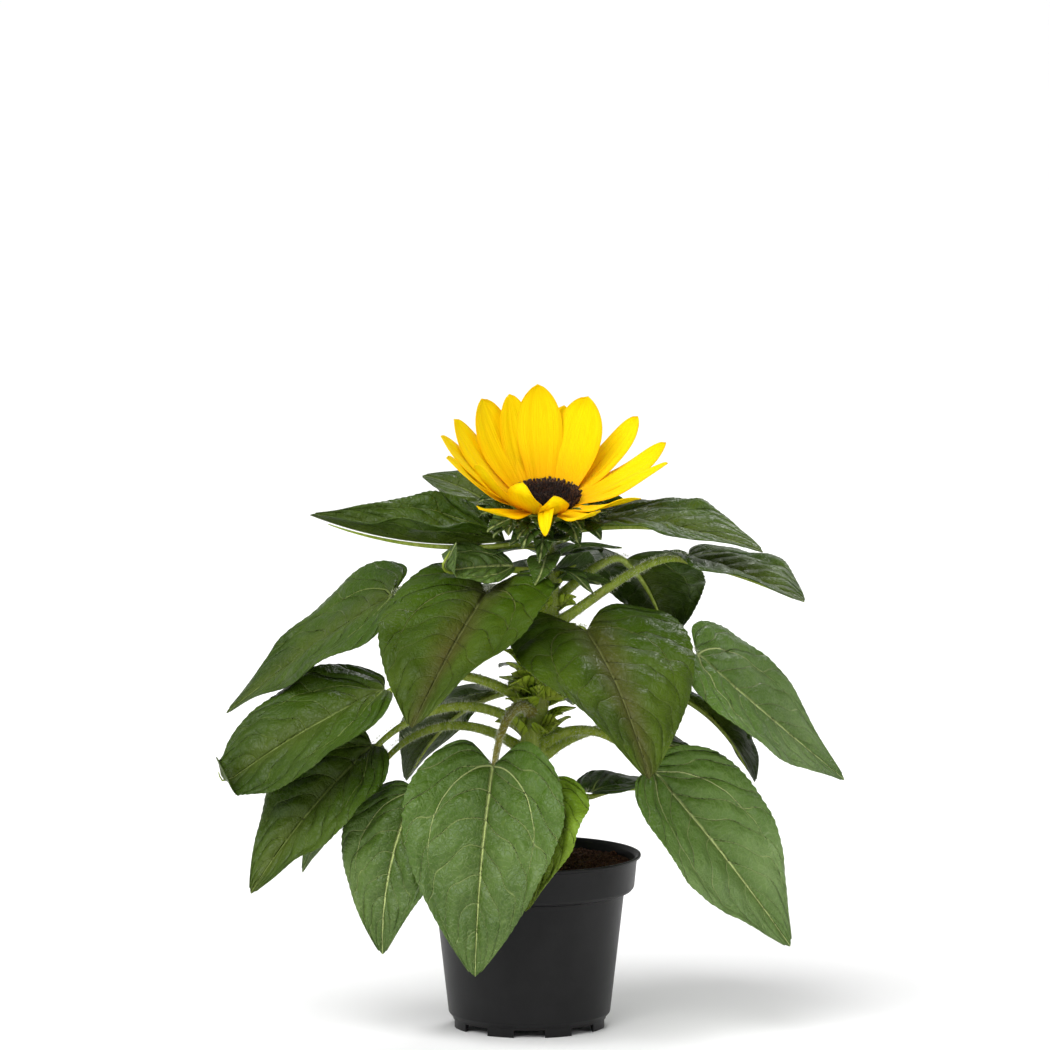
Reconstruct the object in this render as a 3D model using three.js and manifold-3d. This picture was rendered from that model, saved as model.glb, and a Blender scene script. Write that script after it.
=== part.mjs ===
// A dwarf sunflower in a 13 cm nursery pot, as a three.js scene graph of closed solids.
// Millimetres, +Z up. The origin is the centre of the pot's underside, on the ground, and -Y is the front.
import * as THREE from "three";
import { mergeVertices } from "three/addons/utils/BufferGeometryUtils.js";
import Module from "manifold-3d";

const wasm = await Module();
wasm.setup();

// ---------------------------------------------------------------- driving dimensions

const GAP = 0.35; // between solids that touch on the real plant

const POT = {
  rimRadius: 65, // the lip, outside
  height: 101.5,
  bandRadius: 62.8, // top of the stiffening band, outside
  bandFootRadius: 61.2,
  bandFootZ: 82.5,
  shoulderZ: 79, // where the band steps in to the body
  shoulderRadius: 55.3,
  bodyFootRadius: 47.2,
  bodyFootZ: 8.5,
  footRadius: 44.6,
  footZ: 5.5,
  wall: 1.4,
  floorZ: 5, // top of the raised floor's underside
  padRadius: 16, // a flat pad in the middle of the underside stands on the ground
  notches: 8, // drainage notches round the foot
  notchWidth: 18,
  notchHeight: 4.6,
  drainRadius: 3.2,
  drainRing: 33,
  sides: 36,
};

const SOIL = { surfaceZ: 96, crown: 1.2 };

// The stem as heights with their sideways offset and radius, from the cut at the soil to the flower.
const STEM = [
  { at: [0, 1, SOIL.surfaceZ + SOIL.crown + GAP], radius: 8.6 },
  { at: [0, 1, 106], radius: 7.2 },
  { at: [1, 1, 140], radius: 7 },
  { at: [3, 1, 183], radius: 6.8 },
  { at: [8, 2, 220], radius: 6 },
  { at: [12, 3, 250], radius: 5.4 },
  { at: [10, 2, 275], radius: 5 },
  { at: [9, 0, 292], radius: 5 },
];

const HEAD = {
  centre: [9.5, -1, 297], // foot of the receptacle, on the stem's top
  tilt: 19, // degrees that the head nods towards the front
  depth: 15, // from the foot to the disc's edge
  footRadius: 6.5,
  rimRadius: 22,
  discRadius: 18.5,
  discRise: 4.5,
  ringInner: 19,
  ringOuter: 22.5,
  ringDepth: 1.6,
};
const RAY = { thickness: 0.7, rows: 6, columns: 4 };

const BLADE = { thickness: 0.9, rows: 8, columns: 4 };
const PETIOLE = { stemRadius: 2.9, bladeRadius: 1.7, sides: 6, steps: 6, endGap: 1.4 };

// The flower's rays: azimuth about the head from its front towards the right, lift above the head's plane, both in
// degrees, length and width, how far the outer third curls in, and how far the foot stands out of the ring's middle.
const RAYS = [
  { azimuth: 8, lift: 62, length: 36, width: 14, curl: 75 },
  { azimuth: 27, lift: 24, length: 48, width: 18, curl: 15 },
  { azimuth: 52, lift: 26, length: 53, width: 19 },
  { azimuth: 80, lift: 31, length: 59, width: 20 },
  { azimuth: 102, lift: 30, length: 59, width: 22 },
  { azimuth: 124, lift: 40, length: 56, width: 21, out: 1.5 },
  { azimuth: 145, lift: 64, length: 55, width: 30, out: -1 },
  { azimuth: 166, lift: 58, length: 46, width: 20, out: 1.5 },
  { azimuth: 187, lift: 67, length: 59, width: 26, out: -1 },
  { azimuth: 209, lift: 67, length: 54, width: 20, out: 1.5 },
  { azimuth: 229, lift: 58, length: 58, width: 27, out: -1 },
  { azimuth: 250, lift: 50, length: 56, width: 22 },
  { azimuth: 268, lift: 45, length: 57, width: 22 },
  { azimuth: 288, lift: 43, length: 54, width: 21 },
  { azimuth: 306, lift: 52, length: 46, width: 20, curl: 15 },
  { azimuth: 326, lift: 26, length: 54, width: 18 },
  { azimuth: 348, lift: 10, length: 34, width: 13, arch: 0.3 },
];

// Each leaf: where its stalk leaves the stem, where blade and stalk meet, and the blade's tip.
// arch and sway bow the midrib up and to the right of the straight line, as shares of its length.
// roll and twist turn the blade about its midrib, and fold lifts its left and right half, in degrees.
// cup adds to the lift towards the margin, and lobe is how far the heart reaches back past the stalk, as a share.
// A leaf with no stemZ sits straight on the stem.
const LEAVES = [
  { name: "leaf_front", stemZ: 186, base: [-21, -54, 162], tip: [-31, -82, 43], arch: 0.05, twist: -10, fold: [9, 9], width: 97, lobe: 0.19 },
  { name: "leaf_under_front", stemZ: 140, base: [8, -45, 150], tip: [-2, -78, 80], arch: 0.1, roll: 10, fold: [2, 2], width: 66, lobe: 0.1 },
  { name: "leaf_left_heart", stemZ: 236, base: [-25, -22, 258], tip: [-67, -111, 192], arch: 0.03, roll: 0, twist: 10, fold: [13, 13], cup: -3, width: 104, lobe: 0.25 },
  { name: "leaf_right_heart", stemZ: 224, base: [33, -24, 236], tip: [68, -119, 163], arch: 0.07, roll: 6, twist: -17, fold: [9, 9], cup: -3, width: 106, lobe: 0.28 },
  { name: "leaf_low_right", stemZ: 168, base: [71, -35, 156], tip: [151, -33, 52], arch: 0.02, sway: 0.02, roll: 42, twist: 10, fold: [9, 9], cup: 5, width: 90, lobe: 0.07 },
  { name: "leaf_low_left", stemZ: 134, base: [-66, -38, 145], tip: [-84, -54, 51], arch: 0.08, roll: -22, twist: -6, fold: [3, 3], width: 66, lobe: 0.08 },
  { name: "leaf_right", stemZ: 216, base: [97, -15, 221], tip: [184, 18, 142], arch: 0, roll: 42, fold: [7, 7], width: 78, lobe: 0.14 },
  { name: "leaf_right_behind", stemZ: 200, base: [80, 34, 195], tip: [132, 72, 131], arch: 0.1, roll: 10, fold: [10, 10], width: 70, lobe: 0.1 },
  { name: "leaf_right_shaded", stemZ: 160, base: [72, 22, 168], tip: [135, 72, 108], arch: 0.06, roll: 14, fold: [10, 10], width: 56, lobe: 0.1 },
  { name: "leaf_right_lowest", stemZ: 122, base: [36, 28, 133], tip: [110, 82, 95], arch: 0.16, fold: [8, 8], width: 56, lobe: 0.08 },
  { name: "leaf_left_upper", stemZ: 230, base: [-80, -5, 254], tip: [-177, 25, 180], arch: 0.02, sway: 0.02, roll: -31, twist: 5, fold: [7, 7], width: 78, lobe: 0.16 },
  { name: "leaf_left_curled", stemZ: 192, base: [-84, -26, 202], tip: [-184, -15, 136], arch: 0.04, sway: -0.05, roll: -24, twist: -28, curl: 100, fold: [7, 7], width: 84, lobe: 0.07 },
  { name: "leaf_left_low", stemZ: 178, base: [-91, -20, 168], tip: [-161, -40, 84], arch: 0.04, roll: -30, fold: [10, 10], width: 72, lobe: 0.08 },
  { name: "leaf_left_lowest", stemZ: 164, base: [-84, 14, 158], tip: [-132, 16, 87], arch: 0.06, roll: -25, fold: [10, 10], width: 50, lobe: 0.06 },
  { name: "leaf_left_back", stemZ: 196, base: [-16, 28, 194], tip: [-72, 82, 130], arch: 0.1, fold: [8, 8], width: 74, lobe: 0.12 },
  { name: "leaf_back", stemZ: 178, base: [14, 36, 200], tip: [26, 128, 168], arch: 0.1, fold: [8, 8], width: 72, lobe: 0.1 },
  { name: "leaf_back_left_high", stemZ: 240, base: [-26, 34, 250], tip: [-76, 112, 200], arch: 0.1, fold: [8, 8], width: 84, lobe: 0.16 },
  { name: "leaf_back_right_high", stemZ: 222, base: [36, 46, 218], tip: [66, 130, 174], arch: 0.1, fold: [8, 8], width: 84, lobe: 0.16 },
  { name: "leaf_upper_right", stemZ: 238, base: [92, -8, 277], tip: [157, -84, 261], arch: 0.02, sway: -0.02, fold: [12, 12], width: 60, lobe: 0.14 },
  { name: "leaf_right_hanging", stemZ: 252, base: [57, 34, 270], tip: [82, 88, 212], arch: 0.08, fold: [8, 8], width: 78, lobe: 0.2 },
  { name: "leaf_neck_left", base: [-9, -12, 272], tip: [-66, -32, 267], arch: 0.04, roll: -30, curl: 110, fold: [12, 12], width: 32, lobe: 0 },
  { name: "leaf_top_left", base: [-14, -6, 286], tip: [-127, -10, 303], arch: -0.06, fold: [30, 60], width: 62, lobe: 0 },
  { name: "leaf_top_right", base: [30, -4, 295], tip: [134, -62, 286], arch: 0.06, roll: 9, twist: 5, fold: [13, 13], width: 64, lobe: 0 },
  { name: "leaf_top_back_left", base: [-6, 18, 290], tip: [-63, 58, 315], arch: 0.08, roll: -18, fold: [10, 10], width: 54, lobe: 0 },
  { name: "leaf_top_back_right", base: [24, 18, 288], tip: [62, 74, 296], arch: 0.08, fold: [10, 10], width: 54, lobe: 0 },
];

// ---------------------------------------------------------------- helpers

const V = (a) => new THREE.Vector3(...a);
const rad = THREE.MathUtils.degToRad;
const mix = (a, b, t) => a + (b - a) * t;

const COLOURS = {
  pot: [0x1d1e20, 0.5],
  soil: [0x2b1712, 0.95],
  stem: [0x6f8a35, 0.7],
  petiole: [0x7d9a2e, 0.6],
  leaf: [0x35591f, 0.55],
  petal: [0xffd200, 0.6],
  disc: [0x2a150c, 0.9],
  receptacle: [0x55702b, 0.7],
};

function material(kind) {
  const [color, roughness] = COLOURS[kind];
  return new THREE.MeshStandardMaterial({ color, roughness, metalness: 0 });
}

const plant = new THREE.Group();
plant.name = "sunflower_plant";

function add(name, geometry, kind) {
  const mesh = new THREE.Mesh(geometry, material(kind));
  mesh.name = name;
  plant.add(mesh);
}

// A closed three.js geometry as a solid for cutting and joining, and back again.
function solidOf(geometry) {
  const bare = (geometry.index ? geometry.toNonIndexed() : geometry).clone();
  for (const key of ["normal", "uv"]) bare.deleteAttribute(key);
  const merged = mergeVertices(bare, 1e-4);
  return new wasm.Manifold(
    new wasm.Mesh({
      numProp: 3,
      vertProperties: merged.attributes.position.array,
      triVerts: new Uint32Array(merged.index.array),
    }),
  );
}

function geometryOf(solid) {
  const mesh = solid.getMesh();
  const position = new Float32Array(mesh.numVert * 3);
  for (let i = 0; i < mesh.numVert; i++) {
    position.set(mesh.vertProperties.subarray(i * mesh.numProp, i * mesh.numProp + 3), i * 3);
  }
  const geometry = new THREE.BufferGeometry();
  geometry.setAttribute("position", new THREE.BufferAttribute(position, 3));
  geometry.setIndex(new THREE.BufferAttribute(mesh.triVerts, 1));
  geometry.computeVertexNormals();
  return geometry;
}

// A profile of [radius, height] pairs turned about the Z axis.
function turned(profile, sides) {
  const points = profile.map(([r, z]) => new THREE.Vector2(r, z));
  return new THREE.LatheGeometry(points, sides).rotateX(Math.PI / 2);
}

function fromTriangles(corners, faces) {
  const geometry = new THREE.BufferGeometry();
  geometry.setAttribute("position", new THREE.Float32BufferAttribute(corners.flatMap((p) => p.toArray()), 3));
  geometry.setIndex(faces.flat());
  geometry.computeVertexNormals();
  return geometry;
}

// A tapering limb with flat ends along a curve. radiusAt gives its radius from 0 at the start to 1 at the end.
function limb(curve, radiusAt, sides, steps) {
  const frames = curve.computeFrenetFrames(steps, false);
  const corners = [];
  for (let i = 0; i <= steps; i++) {
    const centre = curve.getPointAt(i / steps);
    for (let j = 0; j < sides; j++) {
      const a = (2 * Math.PI * j) / sides;
      corners.push(
        centre
          .clone()
          .addScaledVector(frames.normals[i], radiusAt(i / steps) * Math.cos(a))
          .addScaledVector(frames.binormals[i], radiusAt(i / steps) * Math.sin(a)),
      );
    }
  }
  const faces = [];
  for (let i = 0; i < steps; i++) {
    for (let j = 0; j < sides; j++) {
      const a = i * sides + j;
      const b = i * sides + ((j + 1) % sides);
      faces.push([a, b, b + sides], [a, b + sides, a + sides]);
    }
  }
  const last = steps * sides;
  for (let j = 1; j < sides - 1; j++) {
    faces.push([0, j + 1, j], [last, last + j, last + j + 1]);
  }
  return fromTriangles(corners, faces);
}

// ---------------------------------------------------------------- pot and soil

function pot() {
  const p = POT;
  const t = p.wall;
  const cup = turned(
    [
      [0, 0],
      [p.padRadius, 0],
      [p.padRadius + 2, p.floorZ],
      [p.footRadius - t - 1.5, p.floorZ],
      [p.footRadius - t, 0],
      [p.footRadius, 0],
      [p.footRadius, p.footZ],
      [p.bodyFootRadius, p.bodyFootZ],
      [p.shoulderRadius, p.shoulderZ],
      [p.bandFootRadius - 1.5, p.shoulderZ + 1.5],
      [p.bandFootRadius, p.bandFootZ],
      [p.bandRadius, p.height - 2.4],
      [p.rimRadius, p.height - 1.8],
      [p.rimRadius, p.height],
      [p.bandRadius - t, p.height],
      [p.bandFootRadius - t, p.bandFootZ + 1],
      [p.shoulderRadius - t, p.shoulderZ + 1.6],
      [p.bodyFootRadius - t, p.bodyFootZ + t],
      [p.footRadius - t - 2, p.floorZ + t],
      [p.padRadius + 3, p.floorZ + t],
      [p.padRadius + 1, t],
      [0, t],
    ],
    p.sides,
  );
  let solid = solidOf(cup);
  for (let i = 0; i < p.notches; i++) {
    const turn = (2 * Math.PI * i) / p.notches;
    const notch = new THREE.BoxGeometry(p.notchWidth, 12, p.notchHeight * 2)
      .translate(0, -p.footRadius, 0)
      .rotateZ(turn);
    const drain = new THREE.CylinderGeometry(p.drainRadius, p.drainRadius, 12, 12)
      .rotateX(Math.PI / 2)
      .translate(0, -p.drainRing, p.floorZ)
      .rotateZ(turn);
    solid = solid.subtract(solidOf(notch)).subtract(solidOf(drain));
  }
  return geometryOf(solid);
}

// The soil fills the pot from just above its floor to just under the rim, a little higher in the middle.
function soil() {
  const p = POT;
  const inset = p.wall + GAP + 0.2;
  const surfaceRadius = mix(p.bandFootRadius, p.bandRadius, (SOIL.surfaceZ - p.bandFootZ) / (p.height - p.bandFootZ));
  return turned(
    [
      [0, p.floorZ + inset],
      [p.footRadius - inset - 2.5, p.floorZ + inset],
      [p.bodyFootRadius - inset, p.bodyFootZ + inset],
      [p.shoulderRadius - inset, p.shoulderZ + 2],
      [p.bandFootRadius - inset - 0.4, p.bandFootZ + 1.6],
      [surfaceRadius - inset - 0.2, SOIL.surfaceZ],
      [POT.padRadius, SOIL.surfaceZ + SOIL.crown],
      [0, SOIL.surfaceZ + SOIL.crown],
    ],
    p.sides,
  );
}

// ---------------------------------------------------------------- stem

const stemCurve = new THREE.CatmullRomCurve3(STEM.map((s) => V(s.at)), false, "centripetal");

// The stem's centre and radius at a height.
function stemAt(z) {
  const i = Math.max(1, STEM.findIndex((s) => s.at[2] >= z));
  const [low, high] = [STEM[i - 1], STEM[i]];
  const t = (z - low.at[2]) / (high.at[2] - low.at[2]);
  return { centre: V(low.at).lerp(V(high.at), t), radius: mix(low.radius, high.radius, t) };
}

function stem() {
  return limb(stemCurve, (t) => stemAt(stemCurve.getPointAt(t).z).radius, 10, 14);
}

// ---------------------------------------------------------------- blades

// The midrib as a list of frames from the blade's foot to its tip: point, along, up and right.
const RIB_STEPS = 24;

function midrib(leaf) {
  const base = V(leaf.base);
  const chord = V(leaf.tip).sub(base);
  const along = chord.clone().normalize();
  const above = leaf.above ?? new THREE.Vector3(0, 0, 1);
  const up = above.clone().addScaledVector(along, -above.dot(along)).normalize();
  const right = along.clone().cross(up);
  const bow = up
    .clone()
    .multiplyScalar(leaf.arch ?? 0)
    .addScaledVector(right, leaf.sway ?? 0)
    .multiplyScalar(chord.length());
  const frames = [];
  const point = base.clone();
  for (let i = 0; i <= RIB_STEPS; i++) {
    const u = i / RIB_STEPS;
    const step = chord.clone().addScaledVector(bow, 4 * (1 - 2 * u));
    const heading = step.clone().normalize();
    const roll = rad((leaf.roll ?? 0) + (leaf.twist ?? 0) * u);
    const face = up.clone().addScaledVector(heading, -up.dot(heading)).normalize();
    face.applyAxisAngle(heading, roll);
    const curl = rad(leaf.curl ?? 0) * Math.max(0, (u - 0.7) / 0.3) ** 1.5;
    const axis = heading.clone().cross(face);
    heading.applyAxisAngle(axis, curl);
    face.applyAxisAngle(axis, curl);
    frames.push({ point: point.clone(), along: heading, up: face, right: axis });
    point.addScaledVector(heading, step.length() / RIB_STEPS);
  }
  return frames;
}

// Where a point of the flat blade goes. x runs from 0 at the foot to 1 at the tip, y is in millimetres to the right.
function laid(leaf, frames, x, y) {
  const at = THREE.MathUtils.clamp(x, 0, 1) * RIB_STEPS;
  const i = Math.min(RIB_STEPS - 1, Math.floor(at));
  const [a, b] = [frames[i], frames[i + 1]];
  const along = a.along.clone().lerp(b.along, at - i).normalize();
  const up = a.up.clone().lerp(b.up, at - i).normalize();
  const right = along.clone().cross(up);
  const point = a.point.clone().lerp(b.point, at - i);
  const length = V(leaf.base).distanceTo(V(leaf.tip));
  point.addScaledVector(along, Math.min(0, x) * length);
  const half = leaf.width / 2;
  const share = Math.abs(y) / half;
  const lift = rad(leaf.fold[y < 0 ? 0 : 1] + (leaf.cup ?? 0) * share);
  const wave = (leaf.wave ?? 0) * Math.sin(2 * Math.PI * (2.2 * x + (y < 0 ? 0.15 : 0.6))) * share * share;
  return point
    .addScaledVector(right, y * Math.cos(lift))
    .addScaledVector(up, Math.abs(y) * Math.sin(lift) + wave);
}

// The margin of a heart-shaped leaf: for each rib that leaves the midrib at t, where it meets the edge.
function leafMargin(t, leaf) {
  const lobe = leaf.lobe * (1 - Math.exp(-t / 0.02)) * (1 - t) ** 1.6;
  return { x: t - lobe, y: (leaf.width / 2) * Math.sin(Math.PI * t ** 0.625) };
}

// The margin of a petal: narrow at its foot, widest past the middle, with a blunt point.
function petalMargin(t, petal) {
  const body = Math.sin(Math.PI * Math.min(1, 0.12 + 0.88 * t ** 1.5)) ** 0.6;
  return { x: t, y: (petal.width / 2) * body };
}

// A thin closed blade with its foot and tip as points, from rows of ribs laid on the bent midrib.
function blade(leaf, margin, { rows, columns, thickness }) {
  const frames = midrib(leaf);
  const place = (x, y) => laid(leaf, frames, x, y);
  const skins = [[], []];
  const addPoint = (x, y) => {
    const e = 0.01;
    const point = place(x, y);
    const normal = place(x + e, y)
      .sub(place(x - e, y))
      .cross(place(x, y + 0.5).sub(place(x, y - 0.5)))
      .normalize()
      .negate();
    skins[0].push(point.clone().addScaledVector(normal, thickness / 2));
    skins[1].push(point.clone().addScaledVector(normal, -thickness / 2));
  };
  addPoint(0, 0);
  for (let i = 1; i < rows; i++) {
    const t = i / rows;
    const edge = margin(t, leaf);
    for (let j = 0; j <= columns; j++) {
      const v = (2 * j) / columns - 1;
      addPoint(mix(t, edge.x, Math.abs(v)), v * edge.y);
    }
  }
  addPoint(1, 0);
  return fromTriangles([...skins[0], ...skins[1]], skinFaces(rows, columns, skins[0].length));
}

// Faces of two skins, each a foot point, rows of points and a tip point, joined round their edge.
function skinFaces(rows, columns, count) {
  const at = (i, j) => (i === 0 ? 0 : i === rows ? count - 1 : 1 + (i - 1) * (columns + 1) + j);
  const top = [];
  for (let i = 0; i < rows; i++) {
    for (let j = 0; j < columns; j++) {
      const [a, b, c, d] = [at(i, j), at(i, j + 1), at(i + 1, j + 1), at(i + 1, j)];
      if (a !== b) top.push([a, b, c]);
      if (c !== d) top.push([a, c, d]);
    }
  }
  const faces = top.flatMap(([a, b, c]) => [[a, b, c], [a + count, c + count, b + count]]);
  const rim = [
    ...Array.from({ length: rows + 1 }, (_, i) => at(i, columns)),
    ...Array.from({ length: rows - 1 }, (_, i) => at(rows - 1 - i, 0)),
  ];
  rim.forEach((a, k) => {
    const b = rim[(k + 1) % rim.length];
    faces.push([a, a + count, b + count], [a, b + count, b]);
  });
  return faces;
}

// ---------------------------------------------------------------- leaves

function petiole(leaf) {
  const foot = midrib(leaf)[0];
  const root = stemAt(leaf.stemZ);
  const out = foot.point.clone().sub(root.centre);
  const reach = out.length();
  out.z = 0;
  out.normalize();
  const rise = rad(leaf.rise ?? 35);
  const clear = root.radius + GAP + PETIOLE.stemRadius * Math.sin(rise);
  const start = root.centre.clone().addScaledVector(out, clear);
  const end = foot.point.clone().addScaledVector(foot.along, -PETIOLE.endGap);
  const leaving = out.clone().multiplyScalar(Math.cos(rise));
  leaving.z = Math.sin(rise);
  const curve = new THREE.CubicBezierCurve3(
    start,
    start.clone().addScaledVector(leaving, 0.4 * reach),
    end.clone().addScaledVector(foot.along, -0.3 * reach),
    end,
  );
  return limb(curve, (t) => mix(PETIOLE.stemRadius, PETIOLE.bladeRadius, t), PETIOLE.sides, PETIOLE.steps);
}

// ---------------------------------------------------------------- flower head

// From the head's own frame, with its axis along Z and its foot at the origin, to its place.
const headPlace = new THREE.Matrix4()
  .makeTranslation(...HEAD.centre)
  .multiply(new THREE.Matrix4().makeRotationX(rad(HEAD.tilt)));

function receptacle() {
  const h = HEAD;
  return turned(
    [
      [0, 0],
      [h.footRadius, 0],
      [mix(h.footRadius, h.rimRadius, 0.6), h.depth * 0.3],
      [h.rimRadius, h.depth * 0.75],
      [h.rimRadius, h.depth - h.ringDepth - GAP],
      [h.ringInner - GAP, h.depth - h.ringDepth - GAP],
      [h.ringInner - GAP, h.depth - 2],
      [0, h.depth - 2],
    ],
    24,
  ).applyMatrix4(headPlace);
}

function disc() {
  const h = HEAD;
  return turned(
    [
      [0, h.depth - 2 + GAP],
      [h.discRadius - GAP, h.depth - 2 + GAP],
      [h.discRadius, h.depth + 1],
      [h.discRadius * 0.8, h.depth + h.discRise * 0.75],
      [h.discRadius * 0.4, h.depth + h.discRise],
      [0, h.depth + h.discRise * 0.9],
    ],
    24,
  ).applyMatrix4(headPlace);
}

// The rays spring from one ring round the disc.
function rays() {
  const h = HEAD;
  const ring = turned(
    [
      [h.ringInner, h.depth - h.ringDepth],
      [h.ringOuter, h.depth - h.ringDepth],
      [h.ringOuter, h.depth],
      [h.ringInner, h.depth],
      [h.ringInner, h.depth - h.ringDepth],
    ],
    48,
  );
  const solids = [solidOf(ring)];
  for (const ray of RAYS) {
    const [turn, lift] = [rad(ray.azimuth), rad(ray.lift)];
    const outward = new THREE.Vector3(Math.sin(turn), -Math.cos(turn), 0);
    const base = outward.clone().multiplyScalar(mix(h.ringInner, h.ringOuter, 0.5) + (ray.out ?? 0));
    base.z = h.depth - h.ringDepth / 2;
    const tip = base
      .clone()
      .addScaledVector(outward, ray.length * Math.cos(lift))
      .add(new THREE.Vector3(0, 0, ray.length * Math.sin(lift)));
    const petal = {
      ...{ fold: [14, 14], cup: -10, arch: -0.05, above: new THREE.Vector3(0, 0, 1) },
      ...ray,
      ...{ base: base.toArray(), tip: tip.toArray() },
    };
    solids.push(solidOf(blade(petal, petalMargin, RAY)));
  }
  return geometryOf(wasm.Manifold.union(solids)).applyMatrix4(headPlace);
}

// ---------------------------------------------------------------- build

add("pot", pot(), "pot");
add("potting_soil", soil(), "soil");
add("stem", stem(), "stem");
for (const leaf of LEAVES) {
  add(`${leaf.name}_blade`, blade(leaf, leafMargin, BLADE), "leaf");
  if (leaf.stemZ) add(`${leaf.name}_stalk`, petiole(leaf), "petiole");
}

add("receptacle", receptacle(), "receptacle");
add("disc_florets", disc(), "disc");
add("ray_petals", rays(), "petal");

export default plant;
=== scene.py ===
# %% [markdown]
# # A dwarf sunflower in a nursery pot
#
# The plant stands in a 13 cm black pot: one thick hairy stem, heart-shaped leaves on long stalks, and one
# open flower that nods a little to the front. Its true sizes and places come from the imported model, the
# frame. Each part of the plant is modelled here again with its veins, hairs and colours, in the place of
# its plain solid.

import math

import bpy
import numpy as np
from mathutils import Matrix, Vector, noise


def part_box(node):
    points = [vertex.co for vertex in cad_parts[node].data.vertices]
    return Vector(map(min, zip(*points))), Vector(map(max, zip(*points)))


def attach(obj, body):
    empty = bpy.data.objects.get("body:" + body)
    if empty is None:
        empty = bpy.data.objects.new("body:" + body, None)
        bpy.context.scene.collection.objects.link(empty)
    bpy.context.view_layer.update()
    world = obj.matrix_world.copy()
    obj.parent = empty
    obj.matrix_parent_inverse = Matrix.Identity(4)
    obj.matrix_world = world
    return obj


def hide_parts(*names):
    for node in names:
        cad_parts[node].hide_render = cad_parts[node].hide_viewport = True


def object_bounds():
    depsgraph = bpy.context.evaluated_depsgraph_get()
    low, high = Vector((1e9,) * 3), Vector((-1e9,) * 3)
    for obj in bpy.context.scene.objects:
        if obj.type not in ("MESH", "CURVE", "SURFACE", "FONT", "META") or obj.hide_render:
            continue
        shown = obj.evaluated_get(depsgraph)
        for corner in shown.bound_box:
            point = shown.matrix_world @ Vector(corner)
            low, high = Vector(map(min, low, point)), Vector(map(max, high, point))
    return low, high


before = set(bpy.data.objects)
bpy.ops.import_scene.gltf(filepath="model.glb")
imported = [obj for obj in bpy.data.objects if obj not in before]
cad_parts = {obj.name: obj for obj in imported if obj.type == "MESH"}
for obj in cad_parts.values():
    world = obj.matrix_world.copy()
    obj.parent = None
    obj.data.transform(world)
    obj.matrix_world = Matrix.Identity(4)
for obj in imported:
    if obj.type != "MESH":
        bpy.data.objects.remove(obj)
cad_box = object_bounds()
MM = 0.001
rng = np.random.default_rng(13)
rounded_box = [tuple(round(c, 3) for c in corner) for corner in cad_box]
print("nodes in the frame:", len(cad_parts), "box:", rounded_box)

# %% [markdown]
# ## Camera, floor and light
#
# A plant like this is best seen from a little above the pot's rim, from far away, so that the pot's lines
# stay parallel. A very long lens does that. The shift slides the picture up without tilting the camera. The
# floor is plain and pale. The key light comes from above and to the left, through a wide diffuser, which a
# sun lamp with a broad disc imitates and which lights the whole floor evenly. Two soft boxes fill the right
# and edge the leaves.

# %% Camera
CAMERA_DISTANCE = 6.0
PICTURE_WIDTH = 0.611  # of the scene, in metres, at the plant
CAMERA_ELEVATION = math.radians(8.6)
AIM = Vector((-0.0026, 0.0, 0.188))


def aimed(thing, place, target):
    """Puts a camera or lamp at place, looking at target."""
    thing.location = place
    thing.rotation_euler = (Vector(target) - Vector(place)).to_track_quat("-Z", "Y").to_euler()


bpy.ops.object.select_all(action="DESELECT")
bpy.ops.object.camera_add()
camera = bpy.context.object
camera.data.sensor_width = 36
camera.data.lens = camera.data.sensor_width * CAMERA_DISTANCE / PICTURE_WIDTH
camera.data.shift_y = 0.173
camera.data.clip_end = 100
back = Vector((0, -math.cos(CAMERA_ELEVATION), math.sin(CAMERA_ELEVATION)))
aimed(camera, AIM + back * CAMERA_DISTANCE, AIM)
bpy.context.scene.camera = camera
print("lens", round(camera.data.lens), "mm")

# %% Soft light
def softbox(name, place, size, watts, colour=(1, 1, 1)):
    bpy.ops.object.light_add(type="AREA")
    lamp = bpy.context.object
    lamp.name = name
    lamp.data.shape = "DISK"
    lamp.data.size = size
    lamp.data.energy = watts
    lamp.data.color = colour
    aimed(lamp, place, (0, 0, 0.2))


bpy.ops.object.light_add(type="SUN")
key = bpy.context.object
key.name = "key_light"
key.data.energy, key.data.angle = 3.4, math.radians(58)
aimed(key, (-1.1, -1.5, 2.2), (0, 0, 0.2))
softbox("fill_light", (2.0, -1.2, 1.1), 1.2, 8)
softbox("back_light", (0.5, 1.7, 1.9), 1.0, 22)

# %% [markdown]
# ## Small helpers for materials
#
# Every finish below is a Principled shader fed by a few procedural nodes. Seven helpers keep them short:
# they start a material, add a node and wire its inputs, run a value through a colour ramp, mix two colours,
# do sums, add a bump and make noise.

# %% Material helpers
def material(name, **sockets):
    """A new material's tree and its Principled shader, with plain numbers set on the shader's own sockets."""
    made = bpy.data.materials.new(name)
    made.use_nodes = True
    shader = made.node_tree.nodes["Principled BSDF"]
    for socket, value in sockets.items():
        shader.inputs[socket.replace("_", " ")].default_value = value
    return made, made.node_tree, shader


def node(tree, kind, inputs=None, **settings):
    """Adds a node. inputs maps an input's name or number to a value, or to another node's output."""
    made = tree.nodes.new("ShaderNode" + kind)
    for key, value in settings.items():
        setattr(made, key, value)
    for key, value in (inputs or {}).items():
        if isinstance(value, bpy.types.NodeSocket):
            tree.links.new(value, made.inputs[key])
        else:
            made.inputs[key].default_value = value
    return made


def ramp(tree, value, stops):
    """A colour ramp over value. stops lists (position, colour)."""
    made = node(tree, "ValToRGB", {0: value})
    elements = made.color_ramp.elements
    while len(elements) < len(stops):
        elements.new(0.5)
    for element, (position, colour) in zip(elements, stops):
        element.position = position
        element.color = (*colour, 1)
    return made.outputs[0]


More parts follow.
